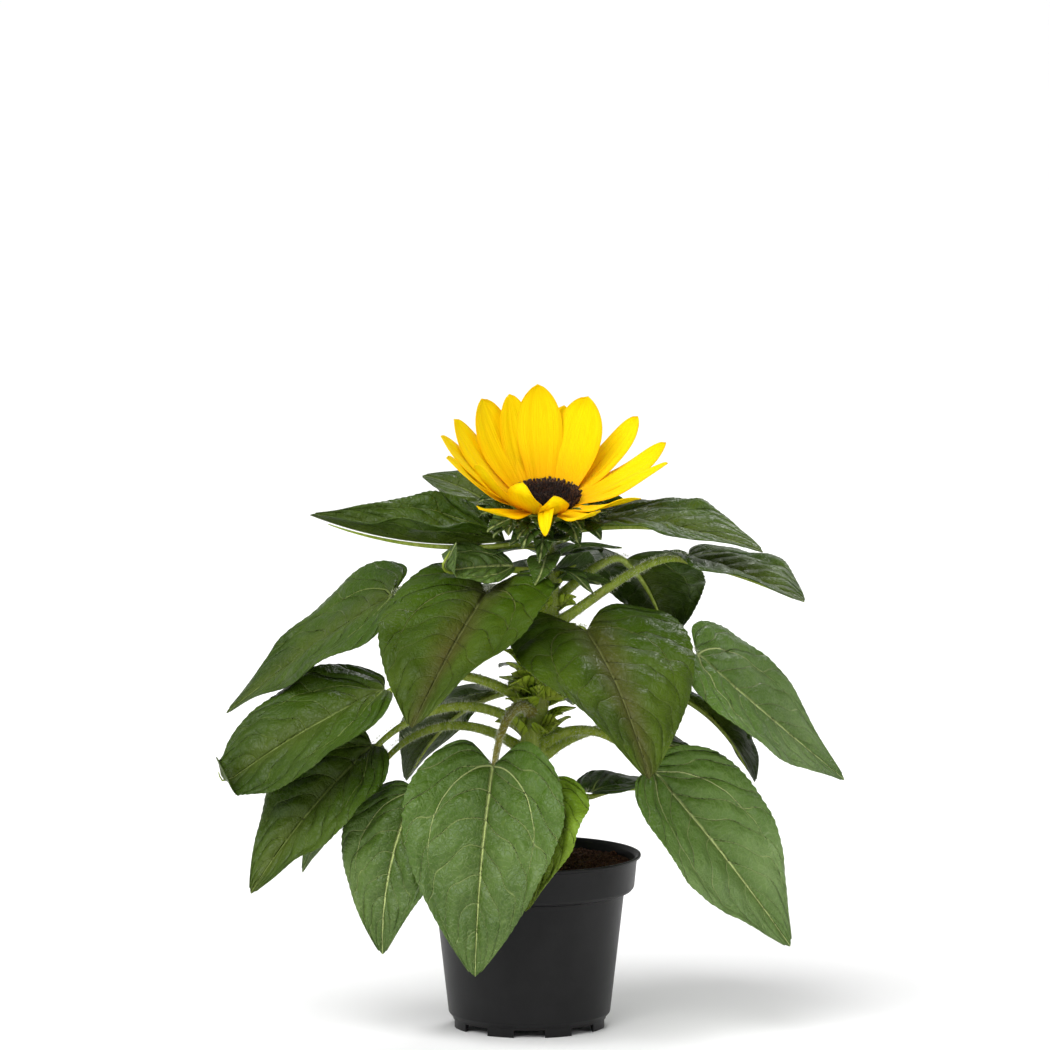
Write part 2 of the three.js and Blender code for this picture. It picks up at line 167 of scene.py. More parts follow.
def mixed(tree, factor, a, b):
    """Colour a where factor is 0 and b where it is 1. Each may be a colour or an output."""
    a, b = [(*c, 1) if isinstance(c, tuple) else c for c in (a, b)]
    return node(tree, "Mix", {0: factor, 6: a, 7: b}, data_type="RGBA").outputs[2]


def maths(tree, operation, a, b=0.0, clamp=False):
    return node(tree, "Math", {0: a, 1: b}, operation=operation, use_clamp=clamp).outputs[0]


def bumped(tree, shader, height, distance, strength=1.0):
    """Adds a bump of that height, in metres where height runs from 0 to 1."""
    made = node(tree, "Bump", {"Height": height, "Distance": distance, "Strength": strength})
    old = shader.inputs["Normal"]
    if old.is_linked:
        tree.links.new(old.links[0].from_socket, made.inputs["Normal"])
    tree.links.new(made.outputs[0], old)


def noise_of(tree, vector, scale, detail=3.0, roughness=0.55):
    inputs = {"Vector": vector, "Scale": scale, "Detail": detail, "Roughness": roughness}
    return node(tree, "TexNoise", inputs).outputs[0]


# %% Tent and floor
world = bpy.data.worlds.new("light_tent")
world.use_nodes = True
sky = world.node_tree
level = node(sky, "SeparateXYZ", {0: node(sky, "TexCoord").outputs["Generated"]}).outputs[2]
WHITE, LOW_GREY, HIGH_GREY = (1.0, 1.0, 1.0), (0.34, 0.34, 0.34), (0.36, 0.36, 0.36)
tent = ramp(sky, level, [(0.04, WHITE), (0.16, LOW_GREY), (1.0, HIGH_GREY)])
sky.links.new(tent, sky.nodes["Background"].inputs["Color"])
bpy.context.scene.world = world
bpy.context.scene.view_settings.view_transform = "Standard"
floor_finish, floor_tree, floor_shader = material("pale_floor", Roughness=0.9)
where = node(floor_tree, "TexCoord").outputs["Object"]
tone = ramp(floor_tree, noise_of(floor_tree, where, 2.0), [(0.3, (0.9, 0.9, 0.9)), (0.7, (0.92, 0.92, 0.92))])
floor_tree.links.new(tone, floor_shader.inputs["Base Color"])
bpy.ops.object.select_all(action="DESELECT")
bpy.ops.mesh.primitive_plane_add(size=60)
floor = bpy.context.object
floor.name = "studio_floor"
floor.data.materials.append(floor_finish)
print("floor is", floor.dimensions.x, "m wide")

# %% [markdown]
# ## Sheets of clay
#
# A leaf, a petal and a stalk are all sheets at heart. Each starts as a grid primitive whose first direction
# runs along the piece and whose second runs across it. The grid's points are then laid where the piece
# wants them, flat on a bent midrib or rolled round a limb, and Solidify gives a blade its thickness.
# Working from a grid keeps a clean UV map of along and across, which the veins can follow.

# %% Grid helpers
def fresh_grid(name, along, across):
    """A grid piece, with each point's share along it, 0 to 1, and across it, -1 to 1."""
    bpy.ops.object.select_all(action="DESELECT")
    bpy.ops.mesh.primitive_grid_add(x_subdivisions=along, y_subdivisions=across, size=1)
    piece = bpy.context.object
    piece.name = piece.data.name = name
    flat = points_of(piece)
    return piece, flat[:, 0] + 0.5, flat[:, 1] * 2


def points_of(piece):
    flat = np.empty(len(piece.data.vertices) * 3)
    piece.data.vertices.foreach_get("co", flat)
    return flat.reshape(-1, 3)


def set_points(piece, points):
    piece.data.vertices.foreach_set("co", np.ascontiguousarray(points, dtype=np.float64).ravel())
    piece.data.update()


def set_attribute(piece, name, values):
    """A vector per point that materials can read."""
    layer = piece.data.attributes.new(name, "FLOAT_VECTOR", "POINT")
    layer.data.foreach_set("vector", np.ascontiguousarray(values, dtype=np.float64).ravel())


def edit_all(*steps):
    """Runs edit-mode operators on the whole of the active piece."""
    bpy.ops.object.mode_set(mode="EDIT")
    bpy.ops.mesh.select_all(action="SELECT")
    for step in steps:
        step()
    bpy.ops.object.mode_set(mode="OBJECT")


def weld(distance=1e-6):
    edit_all(lambda: bpy.ops.mesh.remove_doubles(threshold=distance))


def face_out():
    edit_all(lambda: bpy.ops.mesh.normals_make_consistent(inside=False))


def solidified(piece, thickness, under=0):
    """Gives the sheet a thickness about its middle. under is added to its back's material slot."""
    shell = piece.modifiers.new("thickness", "SOLIDIFY")
    shell.thickness = thickness
    shell.offset = 0
    shell.material_offset = under
    shell.material_offset_rim = under
    bpy.context.view_layer.objects.active = piece
    bpy.ops.object.modifier_apply(modifier=shell.name)


def finish_piece(piece, finishes, nodes):
    """Smooth shading, materials, and what the piece stands for in the frame."""
    bpy.ops.object.select_all(action="DESELECT")
    piece.select_set(True)
    bpy.context.view_layer.objects.active = piece
    bpy.ops.object.shade_smooth_by_angle(angle=math.radians(50))
    for finish in finishes:
        piece.data.materials.append(finish)
    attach(piece, "root")
    if nodes:
        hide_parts(*nodes)


def joined(name, pieces):
    """Several pieces as one."""
    bpy.ops.object.select_all(action="DESELECT")
    for piece in pieces:
        piece.select_set(True)
    bpy.context.view_layer.objects.active = pieces[0]
    bpy.ops.object.join()
    pieces[0].name = pieces[0].data.name = name
    return pieces[0]


def scattered(name, model, places):
    """One piece of many copies of a small model. places lists (3x3 turn and size, position)."""
    points = points_of(model)
    faces = [list(f.vertices) for f in model.data.polygons]
    all_points = np.concatenate([points @ np.asarray(turn).T + position for turn, position in places])
    all_faces = [[v + k * len(points) for v in f] for k in range(len(places)) for f in faces]
    mesh = bpy.data.meshes.new(name)
    mesh.from_pydata(all_points.tolist(), [], all_faces)
    piece = bpy.data.objects.new(name, mesh)
    bpy.context.collection.objects.link(piece)
    bpy.data.objects.remove(model)
    return piece


def unit(v):
    return v / np.linalg.norm(v, axis=-1, keepdims=True)


def turn_towards(direction, size, spin=0.0):
    """A matrix that stretches a model by size (x, y, z) and points its Z along direction."""
    z = unit(np.asarray(direction, float))
    side = np.cross((0, 0, 1.0), z)
    x = unit(side) if np.linalg.norm(side) > 1e-6 else np.array((1.0, 0, 0))
    y = np.cross(z, x)
    c, s = math.cos(spin), math.sin(spin)
    return np.stack([x * c + y * s, y * c - x * s, z], 1) * np.asarray(size)


RIBS, ACROSS = 84, 44
print("a leaf's grid of", RIBS, "by", ACROSS, "has", RIBS * ACROSS * 4, "triangles with both faces")

# %% [markdown]
# ## Laying a blade on its midrib
#
# A leaf hangs from its stalk in a gentle bow, rolls about its midrib and lifts its two halves. So the
# midrib is worked out first as a row of small frames from the foot to the tip. Every point of the flat
# blade then finds its frame by its share along, and steps out sideways by its distance across. A lattice or
# a curve modifier could bend the blade too, but neither would fold it exactly as the frame's own blades are
# folded.

# %% Midrib and blade
RIB_STEPS = 24


def turned_about(v, axis, angle):
    c, s = math.cos(angle), math.sin(angle)
    return v * c + np.cross(axis, v) * s + axis * np.dot(axis, v) * (1 - c)


def midrib(leaf):
    """The points, headings and upward directions along a blade's midrib."""
    base, tip = np.array(leaf["base"], float) * MM, np.array(leaf["tip"], float) * MM
    chord = tip - base
    length = np.linalg.norm(chord)
    along = chord / length
    above = np.array(leaf.get("above", (0, 0, 1.0)))
    up = unit(above - along * np.dot(above, along))
    right = np.cross(along, up)
    bow = (up * leaf.get("arch", 0) + right * leaf.get("sway", 0)) * length
    point, rows = base.copy(), []
    for i in range(RIB_STEPS + 1):
        u = i / RIB_STEPS
        step = chord + bow * 4 * (1 - 2 * u)
        heading = unit(step)
        roll = math.radians(leaf.get("roll", 0) + leaf.get("twist", 0) * u)
        face = turned_about(unit(up - heading * np.dot(up, heading)), heading, roll)
        curled = min(1, max(0, (u - leaf.get("curl_from", 0.7)) / leaf.get("curl_over", 0.3)))
        curl = math.radians(leaf.get("curl", 0)) * curled**1.5
        axis = np.cross(heading, face)
        heading, face = turned_about(heading, axis, curl), turned_about(face, axis, curl)
        rows.append((point.copy(), heading, face))
        point = point + heading * np.linalg.norm(step) / RIB_STEPS
    return [np.array(column) for column in zip(*rows)] + [length]


def laid(leaf, x, y, height):
    """Where flat points go: x is the share along, y the distance to the right, height the lift off it."""
    points, headings, faces, length = midrib(leaf)
    at = np.clip(x, 0, 1) * RIB_STEPS
    i = np.minimum(RIB_STEPS - 1, np.floor(at).astype(int))
    f = (at - i)[:, None]
    along = unit(headings[i] * (1 - f) + headings[i + 1] * f)
    up = unit(faces[i] * (1 - f) + faces[i + 1] * f)
    right = np.cross(along, up)
    place = points[i] * (1 - f) + points[i + 1] * f + along * (np.minimum(0, x) * length)[:, None]
    share = np.abs(y) / (leaf["width"] * MM / 2)
    fold = np.where(y < 0, *[math.radians(a) for a in leaf["fold"]])
    fold = fold + math.radians(leaf.get("cup", 0)) * share
    rise = np.abs(y) * np.sin(fold) + height * np.cos(fold)
    aside = y * np.cos(fold) - np.sign(y) * height * np.sin(fold)
    return place + right * aside[:, None] + up * rise[:, None]


def leaf_margin(t, leaf):
    """The heart-shaped outline: for the rib that leaves the midrib at t, where it meets the edge."""
    lobe = leaf["lobe"] * (1 - np.exp(-t / 0.02)) * (1 - t) ** 1.6
    return t - lobe - 0.012 * (t > 0.98), leaf["width"] * MM / 2 * np.sin(np.pi * 0.988 * t**0.625)


def petal_margin(t, petal):
    body = np.maximum(0, np.sin(np.pi * np.minimum(1, 0.12 + 0.88 * t**1.5))) ** 0.6
    return t, petal["width"] * MM / 2 * body


shares = np.linspace(0, 1, 101)
widest = shares[leaf_margin(shares, dict(width=1, lobe=0))[1].argmax()]
print("the rib that reaches furthest out leaves the midrib at", round(float(widest), 2), "of its length")

# %% [markdown]
# ## The leaves' sizes
#
# These are the plant's leaves as a grower would describe them: where the stalk leaves the stem, where blade
# and stalk meet, where the tip hangs, and how the blade bows, rolls and folds. Sizes are in millimetres.
# Each row repeats the imported model's own leaf of that name, but for the two whose tips curl over, which
# curl tighter here. The last word is the leaf's colour: the top leaves are deep green, the big hearts carry
# a brown-purple flush along the midrib, the low leaves are paler, two of them also with a painted grey sheen,
# and one young leaf is still yellow-green and painted lighter where the front leaf shades it.

# %% Leaves
LEAVES = [
    dict(name="leaf_front", stem_z=186, base=(-21, -54, 162), tip=(-31, -82, 43),
         arch=0.05, twist=-10, fold=(9, 9), width=97, lobe=0.19, tint="low"),
    dict(name="leaf_under_front", stem_z=140, base=(8, -45, 150), tip=(-2, -78, 80),
         arch=0.1, roll=10, fold=(2, 2), width=66, lobe=0.1, tint="young"),
    dict(name="leaf_left_heart", stem_z=236, base=(-25, -22, 258), tip=(-67, -111, 192),
         arch=0.03, twist=10, fold=(13, 13), cup=-3, width=104, lobe=0.25, tint="heart"),
    dict(name="leaf_right_heart", stem_z=224, base=(33, -24, 236), tip=(68, -119, 163),
         arch=0.07, roll=6, twist=-17, fold=(9, 9), cup=-3, width=106, lobe=0.28, tint="heart"),
    dict(name="leaf_low_right", stem_z=168, base=(71, -35, 156), tip=(151, -33, 52),
         arch=0.02, sway=0.02, roll=42, twist=10, fold=(9, 9), cup=5, width=90, lobe=0.07, tint="pale"),
    dict(name="leaf_low_left", stem_z=134, base=(-66, -38, 145), tip=(-84, -54, 51),
         arch=0.08, roll=-22, twist=-6, fold=(3, 3), width=66, lobe=0.08, tint="low"),
    dict(name="leaf_right", stem_z=216, base=(97, -15, 221), tip=(184, 18, 142),
         arch=0, roll=42, fold=(7, 7), width=78, lobe=0.14, tint="pale"),
    dict(name="leaf_right_behind", stem_z=200, base=(80, 34, 195), tip=(132, 72, 131),
         arch=0.1, roll=10, fold=(10, 10), width=70, lobe=0.1, tint="deep"),
    dict(name="leaf_right_shaded", stem_z=160, base=(72, 22, 168), tip=(135, 72, 108),
         arch=0.06, roll=14, fold=(10, 10), width=56, lobe=0.1, tint="low"),
    dict(name="leaf_right_lowest", stem_z=122, base=(36, 28, 133), tip=(110, 82, 95),
         arch=0.16, fold=(8, 8), width=56, lobe=0.08, tint="low"),
    dict(name="leaf_left_upper", stem_z=230, base=(-80, -5, 254), tip=(-177, 25, 180),
         arch=0.02, sway=0.02, roll=-31, twist=5, fold=(7, 7), width=78, lobe=0.16, tint="deep"),
    dict(name="leaf_left_curled", stem_z=192, base=(-84, -26, 202), tip=(-191, -14, 132),
         arch=0.04, sway=-0.05, roll=-24, twist=-28, curl=122, curl_from=0.76, curl_over=0.08,
         fold=(7, 7), width=84, lobe=0.07, tint="deep"),
    dict(name="leaf_left_low", stem_z=178, base=(-91, -20, 168), tip=(-161, -40, 84),
         arch=0.04, roll=-30, fold=(10, 10), width=72, lobe=0.08, tint="deep"),
    dict(name="leaf_left_lowest", stem_z=164, base=(-84, 14, 158), tip=(-132, 16, 87),
         arch=0.06, roll=-25, fold=(10, 10), width=50, lobe=0.06, tint="low"),
    dict(name="leaf_left_back", stem_z=196, base=(-16, 28, 194), tip=(-72, 82, 130),
         arch=0.1, fold=(8, 8), width=74, lobe=0.12, tint="deep"),
    dict(name="leaf_back", stem_z=178, base=(14, 36, 200), tip=(26, 128, 168),
         arch=0.1, fold=(8, 8), width=72, lobe=0.1, tint="low"),
    dict(name="leaf_back_left_high", stem_z=240, base=(-26, 34, 250), tip=(-76, 112, 200),
         arch=0.1, fold=(8, 8), width=84, lobe=0.16, tint="heart"),
    dict(name="leaf_back_right_high", stem_z=222, base=(36, 46, 218), tip=(66, 130, 174),
         arch=0.1, fold=(8, 8), width=84, lobe=0.16, tint="deep"),
    dict(name="leaf_upper_right", stem_z=238, base=(92, -8, 277), tip=(157, -84, 261),
         arch=0.02, sway=-0.02, fold=(12, 12), width=60, lobe=0.14, tint="deep"),
    dict(name="leaf_right_hanging", stem_z=252, base=(57, 34, 270), tip=(82, 88, 212),
         arch=0.08, fold=(8, 8), width=78, lobe=0.2, tint="deep"),
    dict(name="leaf_neck_left", base=(-9, -12, 272), tip=(-66, -32, 267),
         arch=0.04, roll=-30, curl=115, curl_from=0.56, curl_over=0.18, fold=(12, 12), width=38, lobe=0,
         tint="low"),
    dict(name="leaf_top_left", base=(-14, -6, 286), tip=(-127, -10, 303),
         arch=-0.06, fold=(30, 60), width=62, lobe=0, tint="deep"),
    dict(name="leaf_top_right", base=(30, -4, 295), tip=(134, -62, 286),
         arch=0.06, roll=9, twist=5, fold=(13, 13), width=64, lobe=0, tint="deep"),
    dict(name="leaf_top_back_left", base=(-6, 18, 290), tip=(-63, 58, 315),
         arch=0.08, roll=-18, fold=(10, 10), width=54, lobe=0, tint="deep"),
    dict(name="leaf_top_back_right", base=(24, 18, 288), tip=(62, 74, 296),
         arch=0.08, fold=(10, 10), width=54, lobe=0, tint="deep"),
]
print(len(LEAVES), "leaves")

# %% [markdown]
# ## Leaf finishes
#
# The upper face is a waxy green that takes broad soft highlights. Near the blade's foot a painted shade
# makes its green darker and more saturated, and on the low and pale tints a painted shade darkens the green
# along the midrib. Its veins are paler and slightly sunk, it swells between the lesser ones, and a fine net
# divides it into cells. The underside is lighter and duller, with raised veins; part of that lightness is
# painted light, which lifts the backs of the curled tips out of shade. The veins are drawn by the shader from
# three measures that each blade carries at its points: the distance to the midrib, the distance to the two
# strong side veins, and a count of the lesser veins.

# %% Leaf materials
# On the low and pale tints the flush along the midrib is a painted shade, a darker green.
LEAF_TINTS = {  # blade, shaded blade, veins, flush along the midrib, and how plainly the veins show
    "deep": ((0.049, 0.087, 0.006), (0.025, 0.052, 0.003), (0.24, 0.31, 0.08), (0.060, 0.085, 0.008), 0.75),
    "heart": ((0.058, 0.096, 0.006), (0.034, 0.062, 0.003), (0.19, 0.21, 0.07), (0.075, 0.060, 0.018), 0.6),
    # Pale: partly the low leaves' own paler green, partly a painted grey sheen in the colour.
    "pale": ((0.132, 0.210, 0.060), (0.078, 0.142, 0.030), (0.52, 0.60, 0.24), (0.060, 0.120, 0.012), 1.0),
    "low": ((0.088, 0.148, 0.030), (0.046, 0.092, 0.012), (0.46, 0.54, 0.20), (0.045, 0.088, 0.010), 1.0),
    # Young: its own yellow-green, painted lighter still where the front leaf shades its face.
    "young": ((0.205, 0.300, 0.030), (0.150, 0.235, 0.018), (0.33, 0.40, 0.08), (0.17, 0.24, 0.02), 0.8),
    # Shoot: bright young green, pushed brighter still as painted light against the shade they sit in.
    "shoot": ((0.46, 0.58, 0.07), (0.34, 0.45, 0.04), (0.52, 0.60, 0.16), (0.44, 0.52, 0.06), 0.5),
}


def vein_masks(tree, scale=1.0):
    """1 on main veins, 1 on lesser veins, the distance to the midrib, and the swelling between veins."""
    veins = node(tree, "Attribute", attribute_name="veins").outputs["Vector"]
    measures = node(tree, "SeparateXYZ", {0: veins})
    middle, side, count = measures.outputs
    main = maths(tree, "SUBTRACT", 1.3, maths(tree, "MULTIPLY", middle, 1 / scale), clamp=True)
    side = maths(tree, "ABSOLUTE", side)
    strong = maths(tree, "SUBTRACT", 1.3, maths(tree, "MULTIPLY", side, 1 / scale), clamp=True)
    between = maths(tree, "ABSOLUTE", maths(tree, "SUBTRACT", maths(tree, "FRACT", count), 0.5))
    near = maths(tree, "SUBTRACT", 0.5, between)
    lesser = maths(tree, "SUBTRACT", 1.0, maths(tree, "MULTIPLY", near, 28.0 / scale), clamp=True)
    pillow = maths(tree, "SINE", maths(tree, "MULTIPLY", near, math.pi))
    return maths(tree, "MAXIMUM", main, strong), lesser, middle, pillow


NET_CELLS, QUILT_CELLS = 420.0, 175.0  # to the metre


def leaf_patterns(tree, scale):
    """What varies over a blade: veins, swellings, a fine net, blotches, and the way down from its foot."""
    flat = node(tree, "Attribute", attribute_name="flat").outputs["Vector"]
    major, lesser, middle, pillow = vein_masks(tree, scale)
    down = node(tree, "SeparateXYZ", {0: flat}).outputs[0]
    fade = maths(tree, "SUBTRACT", 1.1, maths(tree, "MULTIPLY", down, 6.5), clamp=True)
    patches = maths(tree, "SUBTRACT", noise_of(tree, flat, 55, 2), 0.3)
    uneven = maths(tree, "MULTIPLY", patches, 3.0, clamp=True)
    bent = mixed(tree, 0.012, flat, node(tree, "TexNoise", {"Vector": flat, "Scale": 60.0}).outputs[1])
    cells, quilt = [
        node(tree, "TexVoronoi", {"Vector": bent, "Scale": size}, feature="DISTANCE_TO_EDGE").outputs[0]
        for size in (NET_CELLS, QUILT_CELLS)
    ]
    return dict(
        major=major,
        middle=middle,
        down=down,
        lesser=maths(tree, "MULTIPLY", lesser, fade),
        pillow=maths(tree, "MULTIPLY", pillow, maths(tree, "MULTIPLY", fade, uneven)),
        blotch=noise_of(tree, flat, 26, 4),
        quilt=maths(tree, "POWER", maths(tree, "MULTIPLY", quilt, 2.6, clamp=True), 0.6),
        net=maths(tree, "SUBTRACT", 1.0, maths(tree, "MULTIPLY", cells, 9.0), clamp=True),
        lumps=noise_of(tree, flat, 70, 2),
    )


def leaf_colour(tree, has, blade, shaded, flush, vein, plain):
    """Blotched green, painted shade near the foot, the tint's flush along the midrib, and veins over it."""
    # Painted shade: near its foot the blade grows darker and more saturated.
    foot_shade_colour = tuple(c * k for c, k in zip(blade, (0.66, 0.86, 0.2)))
    colour = ramp(tree, has["blotch"], [(0.38, shaded), (0.62, blade)])
    foot_shade_share = maths(tree, "SUBTRACT", 0.85, maths(tree, "MULTIPLY", has["down"], 11.0), clamp=True)
    colour = mixed(tree, foot_shade_share, colour, foot_shade_colour)
    # Midrib flush: the hearts' own brown-purple; on the low and pale tints a painted shade of darker green.
    flushed = maths(tree, "SUBTRACT", 0.9, maths(tree, "MULTIPLY", has["middle"], 0.05), clamp=True)
    flushed = maths(tree, "MULTIPLY", flushed, maths(tree, "MULTIPLY", has["blotch"], 1.4), clamp=True)
    colour = mixed(tree, flushed, colour, flush)
    for pattern, strength in (("net", 0.09), ("lesser", 0.5), ("major", 0.95)):
        colour = mixed(tree, maths(tree, "MULTIPLY", has[pattern], strength * plain), colour, vein)
    return colour


# Part of this lift is painted light, which brightens the curled tips' backs that the lamps leave in shade.
UNDERSIDE_LIFT = (0.15, 0.21, 0.08)  # how much paler a leaf's back is than one and a half times its face
LEAF_BUMPS = [  # pattern, whether it stands up or is sunk on the upper face, and its height in metres
    ("major", -1, 0.0010),
    ("lesser", -1, 0.0005),
    ("pillow", 1, 0.0018),
    ("net", -1, 0.00016),
    ("quilt", 1, 0.00028),
]


def leaf_finish(name, tint, underside):
    blade, shaded, vein, flush, plain = LEAF_TINTS[tint]
    if underside:
        # Partly painted light: the back is drawn paler so that the curled tips' backs read light in shade.
        blade, shaded = [
            tuple(c * 1.5 + lift for c, lift in zip(colour, UNDERSIDE_LIFT)) for colour in (blade, shaded)
        ]
        flush = blade
    made, tree, shader = material(name, Roughness=0.62 if underside else 0.34)
    shader.inputs["Specular IOR Level"].default_value = 0.12 if underside else 0.38 * plain - 0.1
    has = leaf_patterns(tree, 1.5 if underside else 1.0)
    colour = leaf_colour(tree, has, blade, shaded, flush, vein, plain)
    tree.links.new(colour, shader.inputs["Base Color"])
    for pattern, sign, height in LEAF_BUMPS:
        side = -sign if underside else sign
        bumped(tree, shader, maths(tree, "MULTIPLY", has[pattern], float(side)), height)
    bumped(tree, shader, has["lumps"], 0.0016)
    return made


leaf_finishes = {
    tint: (leaf_finish(f"leaf_{tint}_upper", tint, False), leaf_finish(f"leaf_{tint}_under", tint, True))
    for tint in LEAF_TINTS
}
print("leaf finishes:", list(leaf_finishes))

# %% [markdown]
# ## Leaf blades
#
# One flat pattern serves every leaf, since all have the same veins. The pattern's points follow ribs that
# leave the midrib and run out to the margin, so the heart's lobes, the small teeth and the puckers between
# the veins are all worked out rib by rib. Each leaf copies the pattern, gives it its own outline and its
# own waves, lays it on its midrib and takes a thickness of half a millimetre.

# %% The blade's relief
VEIN_COUNT = 7.6
BLADE_THICKNESS = 0.5 * MM


def side_vein(t):
    """How far out, as a share of the half width, the strong side vein runs at that rib."""
    return 0.46 * (1 - np.exp(-t / 0.08)) + 0.5 * t


def vein_measures(t, v, edge_y):
    """How far off the midrib and the side veins, in those veins' half widths, and the lesser veins' count."""
    reach = np.abs(v)
    thick = 1.0 * (1 - t) + 0.34
    to_side = (reach - side_vein(t)) * np.maximum(edge_y, 0.004)
    stray = np.sin(9 * reach + 14 * t + np.sign(v)) + np.sin(17 * reach - 23 * t + 2 * np.sign(v))
    count = VEIN_COUNT * (t - 0.25 * reach - 0.14 * reach**2) + 0.3 * np.tanh(v * 6) + 0.16 * stray * reach
    side_thick = 0.66 * np.clip(1 - t / 0.62, 0.05, 1)
    return np.stack([reach * edge_y / MM / thick, to_side / MM / side_thick, count], 1)


def leaf_relief(t, v, edge_y, number):
    """Height off the plain blade: pillows and puckers between veins, sunk veins, slow waves and lumps."""
    mood = np.random.default_rng(100 + number)
    reach, phase = np.abs(v), mood.uniform(0, 6.3)
    measures = vein_measures(t, v, edge_y)
    room = np.clip(edge_y / 0.03, 0, 1)
    inner = side_vein(t)
    inside = np.sin(np.pi * reach / np.maximum(inner, 1e-9))
    outside = 0.7 * np.sin(np.pi * np.clip((reach - inner) / (1 - inner), 0, 1))
    pillow = np.where(reach < inner, inside, outside)
    pucker = np.sin(np.pi * measures[:, 2]) ** 2 * np.sin(np.pi * reach**0.8) ** 0.7
    past_side = (reach - inner) * edge_y / MM
    groove = np.exp(-((measures[:, 0] / 2.4) ** 2)) + 0.8 * (1 - t) * np.exp(-((past_side / 1.8) ** 2))
    side = np.where(v < 0, 0.0, mood.uniform(1.5, 4.5))
    wave = np.sin(2 * np.pi * (mood.uniform(1.6, 2.6) * t + 0.3 * reach) + phase + side) * reach**3
    swell = np.sin(2 * np.pi * mood.uniform(0.7, 1.3) * t + 2.0 * phase + side) * np.sin(np.pi * reach)
    lumps = 0.0
    for _ in range(7):
        turn, long, start = mood.uniform(0, 3.14), mood.uniform(11, 30), mood.uniform(0, 6.3)
        across = (t * 120 * math.cos(turn) + v * edge_y / MM * math.sin(turn)) / long
        lumps = lumps + np.sin(2 * np.pi * across + start) * (long / 30)
    lumps = lumps * np.minimum(1, reach * 4)
    height = 2.0 * pillow * (1 - t) ** 0.5 + pucker * (1 - 0.6 * t) - 0.9 * groove
    height = height + 2.6 * wave + 1.1 * swell + 0.34 * lumps
    return room * height * MM


print("half way along, the side veins run at", round(float(side_vein(0.5)), 2), "of the half width")


def leaf_blade(leaf, number):
    piece, t, v = fresh_grid(leaf["name"], RIBS, ACROSS)
    edge_x, edge_y = leaf_margin(t, leaf)
    reach = np.abs(v)
    tooth = (t * RIBS / 3 + 0.5) % 1.0
    toothed = 1 + 0.024 * (tooth - 0.4) * reach**8 * np.clip(edge_y / 0.02, 0, 1)
    x = t + (edge_x - t) * reach
    y = v * edge_y * toothed
    set_points(piece, laid(leaf, x, y, leaf_relief(t, v, edge_y, number)))
    set_attribute(piece, "veins", vein_measures(t, v, edge_y))
    set_attribute(piece, "flat", np.stack([x * 0.12, y, np.full_like(x, number * 0.31)], 1))
    weld(2e-6)
    solidified(piece, BLADE_THICKNESS, under=1)
    return piece


# %% Lay every blade
for number, leaf in enumerate(LEAVES):
    blade = leaf_blade(leaf, number)
    finish_piece(blade, leaf_finishes[leaf["tint"]], [leaf["name"] + "_blade"])
    low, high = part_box(leaf["name"] + "_blade")
    mine = points_of(blade)
    off = max(np.abs(mine.min(0) - low).max(), np.abs(mine.max(0) - high).max()) / MM
    print(f"{leaf['name']}: {len(blade.data.polygons)} faces, within {off:.1f} mm of its solid's box")

# %% [markdown]
# ## Stem and stalks
#
# The stem is thick, ribbed and furred with stiff hairs, and each stalk is a ribbed rod that runs on under
# its blade as the midrib. A limb is a grid rolled round a line of points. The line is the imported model's
# own: the stem's is a smooth curve through its heights, and a stalk's leaves the stem at a slant and comes
# in along the blade. Rolling a grid, rather than bevelling a curve, lets the ribs and swollen joints be
# real relief.

# %% Limb helpers
STEM = [  # height by height: position and radius, in millimetres
    ((0, 1, 97.55), 8.6), ((0, 1, 106), 7.2), ((1, 1, 140), 7.0), ((3, 1, 183), 6.8),
    ((8, 2, 220), 6.0), ((12, 3, 250), 5.4), ((10, 2, 275), 5.0), ((9, 0, 292), 5.0),
]
STALK_FOOT, STALK_END = 2.9 * MM, 1.7 * MM


def stem_at(z):
    """The stem's centre and radius at a height in millimetres, in metres."""
    heights = [p[2] for p, _ in STEM]
    centre = [np.interp(z, heights, [p[k] for p, _ in STEM]) for k in range(3)]
    return np.array(centre) * MM, np.interp(z, heights, [r for _, r in STEM]) * MM


def smooth_line(points, count):
    """A smooth row of count points through a few."""
    points = np.asarray(points, float)
    steps = np.concatenate([[0], np.cumsum(np.linalg.norm(np.diff(points, axis=0), axis=1) ** 0.5)])
    slopes = np.gradient(points, steps, axis=0)
    out = []
    for s in np.linspace(0, steps[-1], count):
        i = min(len(points) - 2, int(np.searchsorted(steps, s, side="right")) - 1)
        h = steps[i + 1] - steps[i]
        u = (s - steps[i]) / h
        a, b = 2 * u**3 - 3 * u**2 + 1, u**3 - 2 * u**2 + u
        bend = h * (b * slopes[i] + (u**3 - u**2) * slopes[i + 1])
        out.append(a * points[i] + (1 - a) * points[i + 1] + bend)
    return np.array(out)


def bezier(a, b, c, d, count):
    u = np.linspace(0, 1, count)[:, None]
    return (1 - u) ** 3 * a + 3 * u * (1 - u) ** 2 * b + 3 * u**2 * (1 - u) * c + u**3 * d


def carried_frames(line):
    """Two directions square to the line at each point, carried along it without twisting."""
    tangents = unit(np.gradient(line, axis=0))
    first = np.cross(tangents[0], (0.3, 0.9, 0.2))
    normals = [unit(first)]
    for tangent in tangents[1:]:
        n = normals[-1] - tangent * np.dot(normals[-1], tangent)
        normals.append(unit(n))
    normals = np.array(normals)
    return tangents, normals, np.cross(tangents, normals)


